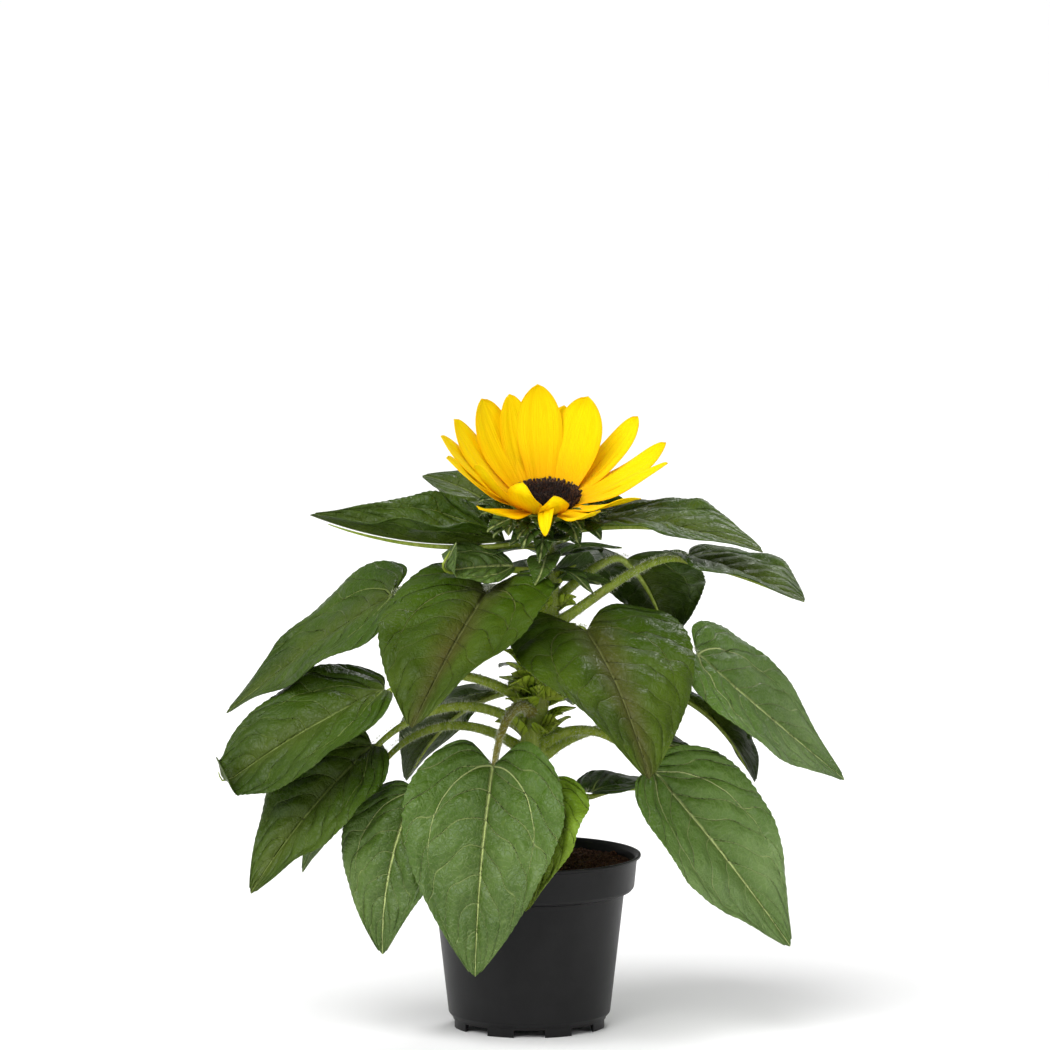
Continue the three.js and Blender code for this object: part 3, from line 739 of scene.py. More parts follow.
def limb(name, line, radii, sides, relief=None):
    """A rolled grid round a line of points, closed at both ends."""
    piece, t, v = fresh_grid(name, len(line) - 1, sides)
    row = np.rint(t * (len(line) - 1)).astype(int)
    angle = np.pi * v
    tangents, normals, binormals = carried_frames(line)
    radius = np.asarray(radii)[row]
    if relief is not None:
        radius = radius + relief(t, angle)
    out = normals[row] * np.cos(angle)[:, None] + binormals[row] * np.sin(angle)[:, None]
    set_points(piece, line[row] + out * radius[:, None])
    weld()

    def close_ends():
        bpy.ops.mesh.select_all(action="DESELECT")
        bpy.ops.mesh.select_mode(type="EDGE")
        bpy.ops.mesh.select_non_manifold()
        bpy.ops.mesh.edge_face_add()
        bpy.ops.mesh.select_mode(type="VERT")

    edit_all(close_ends)
    face_out()
    return piece


print("the stem's radius 200 mm up:", round(float(stem_at(200)[1] / MM), 1), "mm")

# %% [markdown]
# ### Stem and stalk finishes
#
# Both are light green, streaked lengthwise and blotched here and there with red-brown. The stalk of the
# front leaf is flushed all along. The streaks are noise that is stretched in height.

# %% Stem materials
def limb_finish(name, colours, flush, amount):
    made, tree, shader = material(name, Roughness=0.5)
    shader.inputs["Specular IOR Level"].default_value = 0.4
    where = node(tree, "TexCoord").outputs["Object"]
    along = node(tree, "Mapping", {"Vector": where, "Scale": (1, 1, 0.16)}).outputs[0]
    streaks = noise_of(tree, along, 420, 4)
    colour = ramp(tree, streaks, [(0.3, colours[0]), (0.5, colours[1]), (0.72, colours[2])])
    blotch = noise_of(tree, where, 45, 3)
    patch = maths(tree, "MULTIPLY", maths(tree, "SUBTRACT", blotch, 0.52, clamp=True), amount, clamp=True)
    tree.links.new(mixed(tree, patch, colour, flush), shader.inputs["Base Color"])
    bumped(tree, shader, streaks, 0.0006)
    bumped(tree, shader, noise_of(tree, where, 1500, 2), 0.0001)
    return made


stem_finish = limb_finish(
    "stem_green", [(0.15, 0.21, 0.015), (0.25, 0.33, 0.03), (0.37, 0.45, 0.08)], (0.16, 0.10, 0.02), 1.6
)
stalk_finish = limb_finish(
    "stalk_green", [(0.20, 0.29, 0.02), (0.29, 0.38, 0.03), (0.42, 0.50, 0.10)], (0.22, 0.12, 0.03), 1.5
)
red_stalk_finish = limb_finish(
    "stalk_flushed", [(0.18, 0.15, 0.02), (0.26, 0.24, 0.03), (0.36, 0.36, 0.08)], (0.22, 0.07, 0.02), 5.0
)
hair_finish, hair_tree, hair_shader = material("plant_hair", Roughness=0.35)
hair_tone = noise_of(hair_tree, node(hair_tree, "TexCoord").outputs["Object"], 90)
hair_colour = ramp(hair_tree, hair_tone, [(0.35, (0.60, 0.64, 0.42)), (0.65, (0.85, 0.87, 0.74))])
hair_tree.links.new(hair_colour, hair_shader.inputs["Base Color"])
print("finishes:", [finish.name for finish in (stem_finish, stalk_finish, red_stalk_finish, hair_finish)])

# %% Stem
JOINTS = sorted(leaf["stem_z"] for leaf in LEAVES if "stem_z" in leaf)
STEM_ROWS = 150
stem_line = smooth_line([np.array(p) * MM for p, _ in STEM], STEM_ROWS)
stem_radii = np.array([stem_at(z / MM)[1] for z in stem_line[:, 2]])


def stem_relief(t, angle):
    """Ribs down the stem and a swelling where each stalk leaves it."""
    z = np.interp(t, np.linspace(0, 1, STEM_ROWS), stem_line[:, 2]) / MM
    ribs = 0.28 * np.abs(np.sin(4.5 * angle + 0.01 * z)) ** 0.7 + 0.12 * np.sin(13 * angle + 0.05 * z)
    swell = sum(np.exp(-(((z - joint + 2) / 3.2) ** 2)) for joint in JOINTS)
    return (ribs - 0.2 + 0.7 * np.minimum(1, swell)) * MM


stem = limb("stem_skin", stem_line, stem_radii, 48, stem_relief)
finish_piece(stem, [stem_finish], ["stem"])
print("stem:", len(stem.data.polygons), "faces,", round(stem.dimensions.z / MM), "mm tall")

# %% Stalks
RISE = math.radians(35)
STALK_ROWS, RIB_ROWS = 26, 30
limb_lines = [(stem_line, stem_radii)]


def stalk_line(leaf):
    """The stalk's line from inside the stem to the blade's foot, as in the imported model."""
    foot = np.array(leaf["base"], float) * MM
    heading = midrib(leaf)[1][0]
    root, radius = stem_at(leaf["stem_z"])
    out = foot - root
    reach = np.linalg.norm(out)
    out[2] = 0
    out = unit(out)
    leaving = out * math.cos(RISE) + np.array((0, 0, math.sin(RISE)))
    start = root + out * (radius + 0.35 * MM + STALK_FOOT * math.sin(RISE))
    line = bezier(start, start + leaving * 0.4 * reach, foot - heading * 0.3 * reach, foot, STALK_ROWS)
    inside = root - leaving * 1.0 * MM
    return np.concatenate([[inside], line])


def stalk_relief(t, angle):
    """Six fine ribs along the stalk."""
    return 0.09 * MM * np.cos(6 * angle)


def along_midrib(rows, values):
    """Values of a blade's midrib frames at those shares of its length."""
    steps = np.arange(RIB_STEPS + 1)
    return np.stack([np.interp(rows * RIB_STEPS, steps, values[:, k]) for k in range(3)], 1)


for leaf in LEAVES:
    points, headings, faces, _ = midrib(leaf)
    rows = np.linspace(0, 0.9, RIB_ROWS)
    rib, upwards = along_midrib(rows, points), along_midrib(rows, faces)
    taper = 1.45 * MM * (1 - rows / 0.9) ** 0.7 + 0.22 * MM
    rib = rib - upwards * (taper * 0.8 + 1.3 * MM)[:, None]
    if "stem_z" in leaf:
        stalk = stalk_line(leaf)
        radii = np.linspace(STALK_FOOT * 1.12, STALK_END, len(stalk))
        radii[:3] *= (1.35, 1.22, 1.08)
        drop = np.linspace(0, 1, len(stalk))[:, None] ** 4 * (rib[0] - points[0])
        line, radii = np.concatenate([stalk + drop, rib[1:]]), np.concatenate([radii, taper[1:]])
        limb_lines.append((stalk, radii[: len(stalk)]))
        replaced, name = [leaf["name"] + "_stalk"], leaf["name"] + "_stalk_and_rib"
    else:
        root, radius = stem_at(min(291, leaf["base"][2] - 6))
        lead = bezier(root, root + (0, 0, 0.002), rib[0] - headings[0] * 0.004, rib[0], 10)[:-1]
        line, radii = np.concatenate([lead, rib]), np.concatenate([np.full(len(lead), 1.9 * MM), taper])
        replaced, name = [], leaf["name"] + "_foot_and_rib"
    piece = limb(name, line, radii, 20, stalk_relief)
    finish = red_stalk_finish if leaf["name"] == "leaf_front" else stalk_finish
    finish_piece(piece, [finish], replaced)
print("stalks and ribs:", len(LEAVES))

# %% [markdown]
# ## Hairs
#
# Everything but the leaf's face is hairy. One hair is a three-sided cone of four faces. It is copied along
# the stem and the stalks, standing out from the surface and leaning a little, as one joined mesh.

# %% Hairs on the limbs
LIMB_HAIR = 0.11 * MM  # a limb hair's radius at its foot
STEM_HAIR_COUNT, STEM_HAIR_LENGTH = 34, 3.2 * MM  # the count is for each millimetre of the limb
STALK_HAIR_COUNT, STALK_HAIR_LENGTH = 11, 2.6 * MM


def hair_model():
    bpy.ops.object.select_all(action="DESELECT")
    bpy.ops.mesh.primitive_cone_add(vertices=3, radius1=1, radius2=0, depth=1, end_fill_type="NGON")
    model = bpy.context.object
    edit_all(lambda: bpy.ops.transform.translate(value=(0, 0, 0.5)))
    return model


def hairs_along(line, radii, per_mm, length):
    """Places for hairs scattered round a line."""
    tangents, normals, binormals = carried_frames(line)
    total = np.linalg.norm(np.diff(line, axis=0), axis=1).sum() / MM
    places = []
    for _ in range(int(total * per_mm)):
        at = rng.uniform(0, len(line) - 1.001)
        i, f = int(at), at % 1
        angle, lean = rng.uniform(0, 2 * math.pi), rng.normal(0, 0.35)
        out = normals[i] * math.cos(angle) + binormals[i] * math.sin(angle)
        spot = line[i] * (1 - f) + line[i + 1] * f + out * (radii[i] * 0.92)
        size = rng.uniform(0.5, 1.0) * length
        places.append((turn_towards(out + tangents[i] * lean, (LIMB_HAIR, LIMB_HAIR, size)), spot))
    return places


hair_places = hairs_along(*limb_lines[0], STEM_HAIR_COUNT, STEM_HAIR_LENGTH)
for line, radii in limb_lines[1:]:
    hair_places += hairs_along(line, radii, STALK_HAIR_COUNT, STALK_HAIR_LENGTH)
hairs = scattered("limb_hairs", hair_model(), hair_places)
finish_piece(hairs, [hair_finish], [])
print("hairs:", len(hair_places), "with", len(hairs.data.polygons), "faces")

# %% [markdown]
# ## The flower
#
# The flower sits on a green cup at the top of the stem and nods 19 degrees to the front. It is modelled
# upright in a frame of its own, whose origin is the foot of the cup, and a small function tips it into
# place. Its petals are ray florets: long strap-shaped sheets with two shallow channels, set round the disc
# and overlapping. They let a little of the light through.

# %% The flower's own frame
HEAD_CENTRE = np.array((9.5, -1, 297)) * MM
HEAD_TILT = math.radians(19)
RAYS = [  # azimuth from the front towards +X, lift, length, width, curl, and how far out its foot stands
    (338, 50, 37, 21, 105, 0), (8, 42, 30, 17, 100, 0), (27, 24, 48, 18, 15, 0), (52, 26, 53, 19, 0, 0),
    (80, 31, 59, 20, 0, 0), (102, 30, 59, 22, 0, 0), (124, 40, 56, 21, 0, 1.5), (145, 64, 55, 30, 0, -1),
    (166, 58, 46, 20, 0, 1.5), (187, 67, 59, 26, 0, -1), (209, 67, 54, 20, 0, 1.5), (229, 58, 58, 27, 0, -1),
    (250, 50, 56, 22, 0, 0), (268, 45, 57, 22, 0, 0), (288, 43, 54, 21, 0, 0), (306, 52, 46, 20, 15, 0),
    (326, 26, 54, 18, 0, 0), (0, 0, 31, 11, 0, 0),
]


def headed(points):
    """From the flower's own frame to the plant's."""
    c, s = math.cos(HEAD_TILT), math.sin(HEAD_TILT)
    x, y, z = np.asarray(points).T
    return np.stack([x, y * c - z * s, y * s + z * c], -1) + HEAD_CENTRE


def outwards(azimuth, radius, height):
    """A point at that azimuth round the flower's axis, in the flower's own frame."""
    a = math.radians(azimuth)
    return np.array((radius * math.sin(a), -radius * math.cos(a), height))


def radial_sheet(azimuth, radius, height, lift, length, width, **shape):
    """A leaf or petal that starts at a radius and height and leans out at that azimuth and lift."""
    rise = math.radians(lift)
    base = outwards(azimuth, radius, height)
    tip = base + outwards(azimuth, length * math.cos(rise), length * math.sin(rise))
    return dict(dict(base=base, tip=tip, width=width, fold=(14, 14), lobe=0), **shape)


print("the flower nods", round(math.degrees(HEAD_TILT)), "degrees and has", len(RAYS), "rays")

# %% Petals
PETAL_FOOT_RADIUS, PETAL_FOOT_HEIGHT = 20.2, 14.0  # millimetres, in the flower's own frame
PETAL_THICKNESS = 0.4 * MM


def petal_blade(number, ray):
    azimuth, lift, length, width, curl, out = ray
    petal = radial_sheet(
        azimuth, PETAL_FOOT_RADIUS + out, PETAL_FOOT_HEIGHT, lift, length, width * 1.04, cup=-10, arch=-0.05,
        curl=curl,
    )
    petal["twist"], petal["sway"] = rng.normal(0, 7), rng.normal(0, 0.012)
    if curl == 0:
        petal["curl"] = rng.uniform(-12, 16)
    if length < 40 and curl == 0:
        petal["arch"], petal["roll"] = 0.3, 35
    piece, t, v = fresh_grid(f"petal_{number}", 40, 18)
    edge_x, edge_y = petal_margin(t, petal)
    notch = 0.028 * np.exp(-((v / 0.16) ** 2)) * np.clip((t - 0.9) / 0.1, 0, 1)
    phase = rng.uniform(0, 6.3)
    channels = np.exp(-(((v - 0.36) / 0.13) ** 2)) + np.exp(-(((v + 0.34) / 0.13) ** 2))
    fine = np.sin(26 * v + phase) * 0.07
    ripple = np.sin(2 * np.pi * 1.4 * t + phase + 2.2 * np.sign(v)) * np.abs(v) ** 2
    along = np.sin(np.pi * np.clip(t, 0, 1)) ** 0.6
    height = (-0.8 * channels * along + fine * along + 0.55 * ripple) * MM
    set_points(piece, headed(laid(petal, t * 1.04 - 0.04 - notch, v * edge_y, height)))
    set_attribute(piece, "petal", np.stack([t, v, np.full_like(t, rng.uniform(0, 1))], 1))
    weld(2e-6)
    solidified(piece, PETAL_THICKNESS, under=1)
    return piece


def petal_finish(name, base, middle, tip, dull):
    made, tree, shader = material(name, Roughness=0.6)
    shader.inputs["Specular IOR Level"].default_value = 0.08
    shader.inputs["Subsurface Weight"].default_value = 0.15
    shader.inputs["Subsurface Scale"].default_value = 0.003
    measures = node(tree, "Attribute", attribute_name="petal").outputs["Vector"]
    along, across, own = node(tree, "SeparateXYZ", {0: measures}).outputs
    # The deeper orange at the foot is partly the petal's own colour, partly painted shade near the disc.
    colour = ramp(tree, along, [(0.08, base), (0.46, middle), (0.85, tip)])
    lane = node(tree, "CombineXYZ", {0: maths(tree, "MULTIPLY", along, 1.3), 1: across, 2: own}).outputs[0]
    stretched = node(tree, "Mapping", {"Vector": lane, "Scale": (1.0, 11.0, 40.0)}).outputs[0]
    streak = noise_of(tree, stretched, 1.6, 5, 0.6)
    darker = maths(tree, "MULTIPLY", maths(tree, "SUBTRACT", streak, 0.48, clamp=True), 2.4, clamp=True)
    colour = mixed(tree, darker, colour, dull)
    # Painted shade: each petal darkens to its foot's orange along its margins, where the petals overlap.
    past = maths(tree, "SUBTRACT", maths(tree, "ABSOLUTE", across), 0.76, clamp=True)
    edge = maths(tree, "MULTIPLY", past, 2.0)
    colour = mixed(tree, edge, colour, base)
    tree.links.new(colour, shader.inputs["Base Color"])
    bumped(tree, shader, streak, 0.0005)
    return made


petal_upper = petal_finish(
    "petal_upper", (0.84, 0.40, 0.0), (0.90, 0.61, 0.0), (0.92, 0.67, 0.0), (0.84, 0.50, 0.0)
)
petal_under = petal_finish(
    "petal_under", (0.74, 0.42, 0.0), (0.85, 0.55, 0.0), (0.90, 0.62, 0.0), (0.77, 0.45, 0.0)
)
petals = joined("petals", [petal_blade(i, ray) for i, ray in enumerate(RAYS)])
finish_piece(petals, [petal_upper, petal_under], ["ray_petals"])
print("petals:", len(RAYS), "with", len(petals.data.polygons), "faces")

# %% [markdown]
# ### Disc
#
# The dark middle is some four hundred tube florets in a spiral. Each turns by the golden angle from the
# last, and the radius grows with the square root of the count, which packs them evenly. The outer ones have
# opened and stand taller, with forked stigmas, so the rim of the disc looks ragged.

# %% Disc florets
FLORETS = 430
DISC_RADIUS, DISC_FOOT, DISC_RISE = 18.6 * MM, 14.6 * MM, 3.2 * MM
GOLDEN = math.pi * (3 - math.sqrt(5))


def disc_height(r):
    return DISC_FOOT + DISC_RISE * (1 - (r / DISC_RADIUS) ** 2) - 1.6 * MM * math.exp(-((r / (5 * MM)) ** 2))


def head_matrix(direction, size, spin=0.0):
    """turn_towards for a direction in the flower's own frame."""
    tipped = headed(np.array([direction])) - HEAD_CENTRE
    return turn_towards(tipped[0], size, spin)


disc_finish, disc_tree, disc_shader = material("disc_florets", Roughness=0.6)
disc_place = node(disc_tree, "TexCoord").outputs["Object"]
disc_colours = [(0.36, (0.006, 0.002, 0.002)), (0.52, (0.014, 0.004, 0.003)), (0.72, (0.07, 0.02, 0.005))]
disc_colour = ramp(disc_tree, noise_of(disc_tree, disc_place, 520), disc_colours)
disc_tree.links.new(disc_colour, disc_shader.inputs["Base Color"])
bumped(disc_tree, disc_shader, noise_of(disc_tree, disc_place, 1800), 0.0003)
stigma_finish, stigma_tree, stigma_shader = material("stigmas", Roughness=0.5)
stigma_place = node(stigma_tree, "TexCoord").outputs["Object"]
stigma_colours = [(0.4, (0.05, 0.014, 0.006)), (0.6, (0.24, 0.09, 0.012))]
stigma_colour = ramp(stigma_tree, noise_of(stigma_tree, stigma_place, 260), stigma_colours)
stigma_tree.links.new(stigma_colour, stigma_shader.inputs["Base Color"])
tubes, stigmas = [], []
for k in range(FLORETS):
    r = DISC_RADIUS * math.sqrt((k + 0.5) / FLORETS)
    azimuth = math.degrees(k * GOLDEN)
    spot = outwards(azimuth, r, disc_height(r) - 0.8 * MM)
    lean = outwards(azimuth, 0.55 * (r / DISC_RADIUS) ** 2, 1.0) + rng.normal(0, 0.13, 3)
    opened = (r / DISC_RADIUS) ** 3
    tall = (2.3 + 2.6 * opened + rng.uniform(-0.5, 0.7)) * MM
    wide = (0.62 + 0.22 * opened) * MM
    place = headed(np.array([spot]))[0]
    tubes.append((head_matrix(lean, (wide, wide, tall), rng.uniform(0, 6)), place))
    if opened > 0.35:
        top = headed(np.array([spot + unit(lean) * tall * 0.85]))[0]
        for fork in (-1, 1):
            splay = lean + rng.normal(0, 0.3, 3) + fork * outwards(azimuth + 90, 0.45, 0)
            stigmas.append((head_matrix(splay, (0.2 * MM, 0.2 * MM, rng.uniform(1.2, 2.4) * MM)), top))
bpy.ops.object.select_all(action="DESELECT")
bpy.ops.mesh.primitive_cone_add(vertices=6, radius1=0.75, radius2=1.0, depth=1, end_fill_type="NGON")
tube = bpy.context.object


def hollow_tube():
    """Sinks the tube's mouth."""
    bpy.ops.transform.translate(value=(0, 0, 0.5))
    bpy.ops.mesh.select_all(action="DESELECT")
    bpy.ops.object.mode_set(mode="OBJECT")
    for face in tube.data.polygons:
        face.select = face.normal.z > 0.9
    bpy.ops.object.mode_set(mode="EDIT")
    bpy.ops.mesh.select_mode(type="FACE")
    bpy.ops.mesh.inset(thickness=0.35)
    bpy.ops.transform.translate(value=(0, 0, -0.3))
    bpy.ops.mesh.select_mode(type="VERT")


edit_all(hollow_tube)
florets = scattered("disc_tubes", tube, tubes)
DOME_ROWS = 12
dome_axis = np.zeros(DOME_ROWS)
dome_line = headed(np.stack([dome_axis, dome_axis, np.linspace(12 * MM, 17.2 * MM, DOME_ROWS)], 1))
dome_round = np.sqrt(np.clip(1 - np.linspace(-0.25, 0.98, DOME_ROWS).clip(0) ** 2, 0.02, 1))
dome = limb("disc_dome", dome_line, DISC_RADIUS * dome_round * 0.97, 48)
florets = joined("disc", [florets, dome])
finish_piece(florets, [disc_finish], ["disc_florets"])
forks = scattered("disc_stigmas", hair_model(), stigmas)
finish_piece(forks, [stigma_finish], [])
print("disc florets:", len(tubes), "stigmas:", len(stigmas))

# %% [markdown]
# ### Cup and bracts
#
# Below the petals the head is a fleshy green cup, clothed in rows of pointed bracts that stand out, curl at
# their tips and are fringed with hairs. Narrow leaves crowd the top of the stem just under them. All are
# small sheets laid in the same way as the big leaves.

# %% Small leafy sheets
SMALL_THICKNESS = 0.45 * MM
FINE_HAIR = 0.09 * MM  # the fine hairs' radius at the foot


def small_sheet(name, leaf, ribs, across, pointed, place=None):
    """A small leaf or bract. pointed is how far down its widest place is, less for a longer point."""
    piece, t, v = fresh_grid(name, ribs, across)
    edge_y = leaf["width"] * MM / 2 * np.sin(np.pi * t**pointed) ** 0.85
    phase = rng.uniform(0, 6.3)
    wave = 0.35 * np.sin(9 * t + phase + np.sign(v)) * np.abs(v) - 0.25 * np.exp(-((v / 0.2) ** 2))
    points = laid(leaf, t, v * edge_y, wave * MM)
    set_points(piece, points if place is None else place(points))
    to_midrib, no_side_vein = np.abs(v) * edge_y / MM * 1.4, np.full_like(t, 9)
    set_attribute(piece, "veins", np.stack([to_midrib, no_side_vein, 4 * t - 0.9 * np.abs(v)], 1))
    along = t * leaf["width"] * MM * 2
    set_attribute(piece, "flat", np.stack([along, v * edge_y, np.full_like(t, phase)], 1))
    weld(2e-6)
    solidified(piece, SMALL_THICKNESS, under=1)
    return piece


def fringe(leaf, pointed, count, length, place=None):
    """Hairs along a small sheet's margins and its back."""
    t = rng.uniform(0.03, 0.97, count)
    on_margin, side = rng.uniform(0, 1, count) < 0.6, np.sign(rng.normal(0, 1, count))
    v = np.where(on_margin, side, rng.uniform(-0.9, 0.9, count))
    edge_y = leaf["width"] * MM / 2 * np.sin(np.pi * t**pointed) ** 0.85
    spots = laid(leaf, t, v * edge_y, t * 0)
    inner = laid(leaf, t, v * edge_y * 0.5, t * 0 + 1 * MM)
    if place is not None:
        spots, inner = place(spots), place(inner)
    out = spots - inner + rng.normal(0, 0.0006, spots.shape)
    sizes = rng.uniform(0.5, 1.0, count) * length
    return [(turn_towards(o, (FINE_HAIR, FINE_HAIR, s)), p) for o, s, p in zip(out, sizes, spots)]


# %% Cup
CUP_ROWS = 24
CUP_FOOT, CUP_TOP = -0.4, 14.0  # heights in millimetres, in the flower's own frame
CUP_FOOT_RADIUS, CUP_WIDENING = 5.8, 15.6
share = np.linspace(0, 1, CUP_ROWS)
cup_heights = share * (CUP_TOP - CUP_FOOT) + CUP_FOOT
cup_line = headed(np.stack([share * 0, share * 0, cup_heights * MM], 1))
cup_radii = (CUP_FOOT_RADIUS + CUP_WIDENING * np.sin(share * math.pi / 2) ** 1.1) * MM


def cup_relief(t, angle):
    """Ribs down the cup that die out at both ends."""
    return 0.3 * MM * np.cos(21 * angle) * np.sin(np.pi * t)


cup = limb("cup", cup_line, cup_radii, 64, cup_relief)
finish_piece(cup, [stem_finish], ["receptacle"])
print("cup:", len(cup.data.polygons), "faces")

# %% Bracts and the narrow leaves under the head
BRACT_ROWS = [  # count, radius, height, lift, length, width, curl
    (13, 17.0, 9.4, -5, 22, 15.0, -30),
    (11, 13.5, 7.0, -14, 25, 17.0, -30),
    (8, 9.5, 4.0, -34, 25, 16.0, 15),
]
BRACT_POINT, NARROW_POINT, SHOOT_POINT = 0.62, 0.66, 0.92  # less for a longer point
bracts, bract_hairs = [], []
for row, (count, radius, height, lift, length, width, curl) in enumerate(BRACT_ROWS):
    for k in range(count):
        bract = radial_sheet(
            (k + 0.5 * row) * 360 / count + rng.normal(0, 5),
            radius,
            height,
            lift + rng.normal(0, 5),
            length * rng.uniform(0.8, 1.15),
            width * rng.uniform(0.85, 1.15),
            fold=(24, 24),
            arch=rng.uniform(0.02, 0.16),
            curl=curl + rng.normal(0, 16),
            sway=rng.normal(0, 0.05),
            roll=rng.normal(0, 12),
        )
        bracts.append(small_sheet(f"bract_{row}_{k}", bract, 18, 8, BRACT_POINT, headed))
        bract_hairs += fringe(bract, BRACT_POINT, 34, 2.0 * MM, headed)
bracts = joined("bracts", bracts)
bract_finishes = [leaf_finish("bract_upper", "low", False), leaf_finish("bract_under", "low", True)]
finish_piece(bracts, bract_finishes, [])

NARROW_ROWS = [  # height on the stem, how many, lift, length and width
    (287, 6, 6, 42, 23),
    (278, 5, -10, 40, 23),
    (269, 4, -18, 34, 20),
    (259, 3, -10, 30, 17),
]


def stem_sheet(z, azimuth, lift, length, width, **shape):
    """A small leaf that leaves the stem at a height in millimetres."""
    centre, radius = stem_at(z)
    sheet = radial_sheet(azimuth, radius / MM * 0.8, 0, lift, length, width, **shape)
    shift = centre / MM
    return dict(sheet, base=sheet["base"] + shift, tip=sheet["tip"] + shift)


narrow, narrow_hairs = [], []
for z, count, lift, length, width in NARROW_ROWS:
    for k in range(count):
        azimuth = (k + 0.37 * z) * 360 / count + rng.normal(0, 8)
        full = 1.3 if math.cos(math.radians(azimuth)) < 0.2 else 0.9  # smaller in front
        sheet = stem_sheet(
            z + rng.normal(0, 2),
            azimuth,
            lift + rng.normal(0, 12),
            length * full * rng.uniform(0.85, 1.15),
            width * full * rng.uniform(0.85, 1.15),
            arch=rng.uniform(0.05, 0.2),
            curl=rng.normal(5, 28),
            fold=(14, 14),
            roll=rng.normal(0, 15),
            sway=rng.normal(0, 0.05),
        )
        narrow.append(small_sheet(f"narrow_{len(narrow)}", sheet, 24, 10, NARROW_POINT))
        narrow_hairs += fringe(sheet, NARROW_POINT, 36, 1.8 * MM)
print("bracts and narrow leaves:", sum(row[0] for row in BRACT_ROWS), len(narrow))
narrow = joined("narrow_leaves", narrow)
finish_piece(narrow, bract_finishes, [])

# %% [markdown]
# ### Side shoots
#
# Where each stalk leaves the stem a side shoot waits in the corner: a tuft of small folded leaves, bright
# green because they are young and painted brighter still, as painted light against the shade of the leaves
# above. They are densest half way up.

# %% Side shoots
SHOOT_LENGTH, SHOOT_WIDTH = 20, 12.5  # millimetres, for a middling leaf of a tuft
shoots, shoot_hairs = [], []
for leaf in LEAVES:
    if "stem_z" not in leaf:
        continue
    out = (np.array(leaf["base"]) - stem_at(leaf["stem_z"])[0] / MM)[:2]
    azimuth = math.degrees(math.atan2(out[0], -out[1]))
    tuft = 5 if 130 < leaf["stem_z"] < 220 else 3
    for k in range(tuft):
        size = rng.uniform(0.75, 1.25) * (1.0 if tuft == 5 else 0.75)
        sheet = stem_sheet(
            leaf["stem_z"] + 5 + rng.uniform(-4, 5),
            azimuth + rng.normal(0, 34),
            rng.uniform(5, 60),
            SHOOT_LENGTH * size,
            SHOOT_WIDTH * size,
            fold=(24, 24),
            arch=rng.uniform(0.0, 0.25),
            curl=rng.uniform(-60, 30),
            roll=rng.normal(0, 25),
        )
        shoots.append(small_sheet(f"shoot_{len(shoots)}", sheet, 14, 8, SHOOT_POINT))
        shoot_hairs += fringe(sheet, SHOOT_POINT, 18, 1.3 * MM)
print("side shoot leaves:", len(shoots))
shoots = joined("side_shoots", shoots)
finish_piece(shoots, list(leaf_finishes["shoot"]), [])
fine_hairs = scattered("fine_hairs", hair_model(), bract_hairs + narrow_hairs + shoot_hairs)
finish_piece(fine_hairs, [hair_finish], [])
print("fine hairs:", len(bract_hairs + narrow_hairs + shoot_hairs))

# %% [markdown]
# ## Potting soil
#
# The pot is filled with coir: red-brown crumbs and short fibres. A turned plug with a lumpy top fills the
# pot to about 5 mm below its lip, and loose crumbs lie on it. Each crumb is a squashed ico-sphere of twenty
# faces.

# %% Soil plug
def turned(name, profile, sides):
    """A turned body: a circle pulled through the profile's radii and heights, ring by ring, and closed."""
    (radius, height), *rest = [(r * MM, z * MM) for r, z in profile]
    bpy.ops.object.select_all(action="DESELECT")
    bpy.ops.mesh.primitive_circle_add(vertices=sides, radius=radius, fill_type="NGON")
    piece = bpy.context.object
    piece.name = piece.data.name = name
    bpy.ops.object.mode_set(mode="EDIT")
    bpy.ops.mesh.select_all(action="SELECT")
    bpy.ops.transform.translate(value=(0, 0, height))
    bpy.ops.mesh.select_mode(type="EDGE")
    bpy.ops.mesh.duplicate()
    bpy.ops.mesh.delete(type="ONLY_FACE")
    piece.data.update()
    bpy.ops.mesh.select_all(action="DESELECT")
    bpy.ops.object.mode_set(mode="OBJECT")
    for edge in list(piece.data.edges)[-sides:]:
        edge.select = True
    bpy.ops.object.mode_set(mode="EDIT")
    for next_radius, next_height in rest:
        bpy.ops.mesh.extrude_edges_move(TRANSFORM_OT_translate={"value": (0, 0, next_height - height)})
        share = next_radius / radius
        bpy.ops.transform.resize(value=(share, share, 1), center_override=(0, 0, 0))
        radius, height = next_radius, next_height
    bpy.ops.mesh.edge_face_add()
    bpy.ops.mesh.select_mode(type="VERT")
    bpy.ops.object.mode_set(mode="OBJECT")
    bpy.context.view_layer.objects.active = piece
    weld()
    face_out()
    return piece


SOIL_TOP = 96  # millimetres above the ground


def soil_height(x, y):
    """The soil's top: a slight crown with lumps."""
    crown = SOIL_TOP + 1.2 * (1 - (math.hypot(x, y) / 58) ** 2)
    lumps = noise.noise(Vector((x / 9, y / 9, 3)))
    grains = noise.noise(Vector((x / 3, y / 3, 8)))
    return crown - 0.6 + 1.1 * lumps + 0.6 * grains


plug_side = [(48, 20), (56.0, 86), (59.6, 88), (60.4, SOIL_TOP - 0.4)]
plug = turned("soil_plug", plug_side + [(r, SOIL_TOP) for r in np.linspace(58.5, 1.2, 44)], 128)
points = points_of(plug)
for p in points:
    if p[2] > (SOIL_TOP - 0.2) * MM:
        p[2] = soil_height(p[0] / MM, p[1] / MM) * MM
set_points(plug, points)

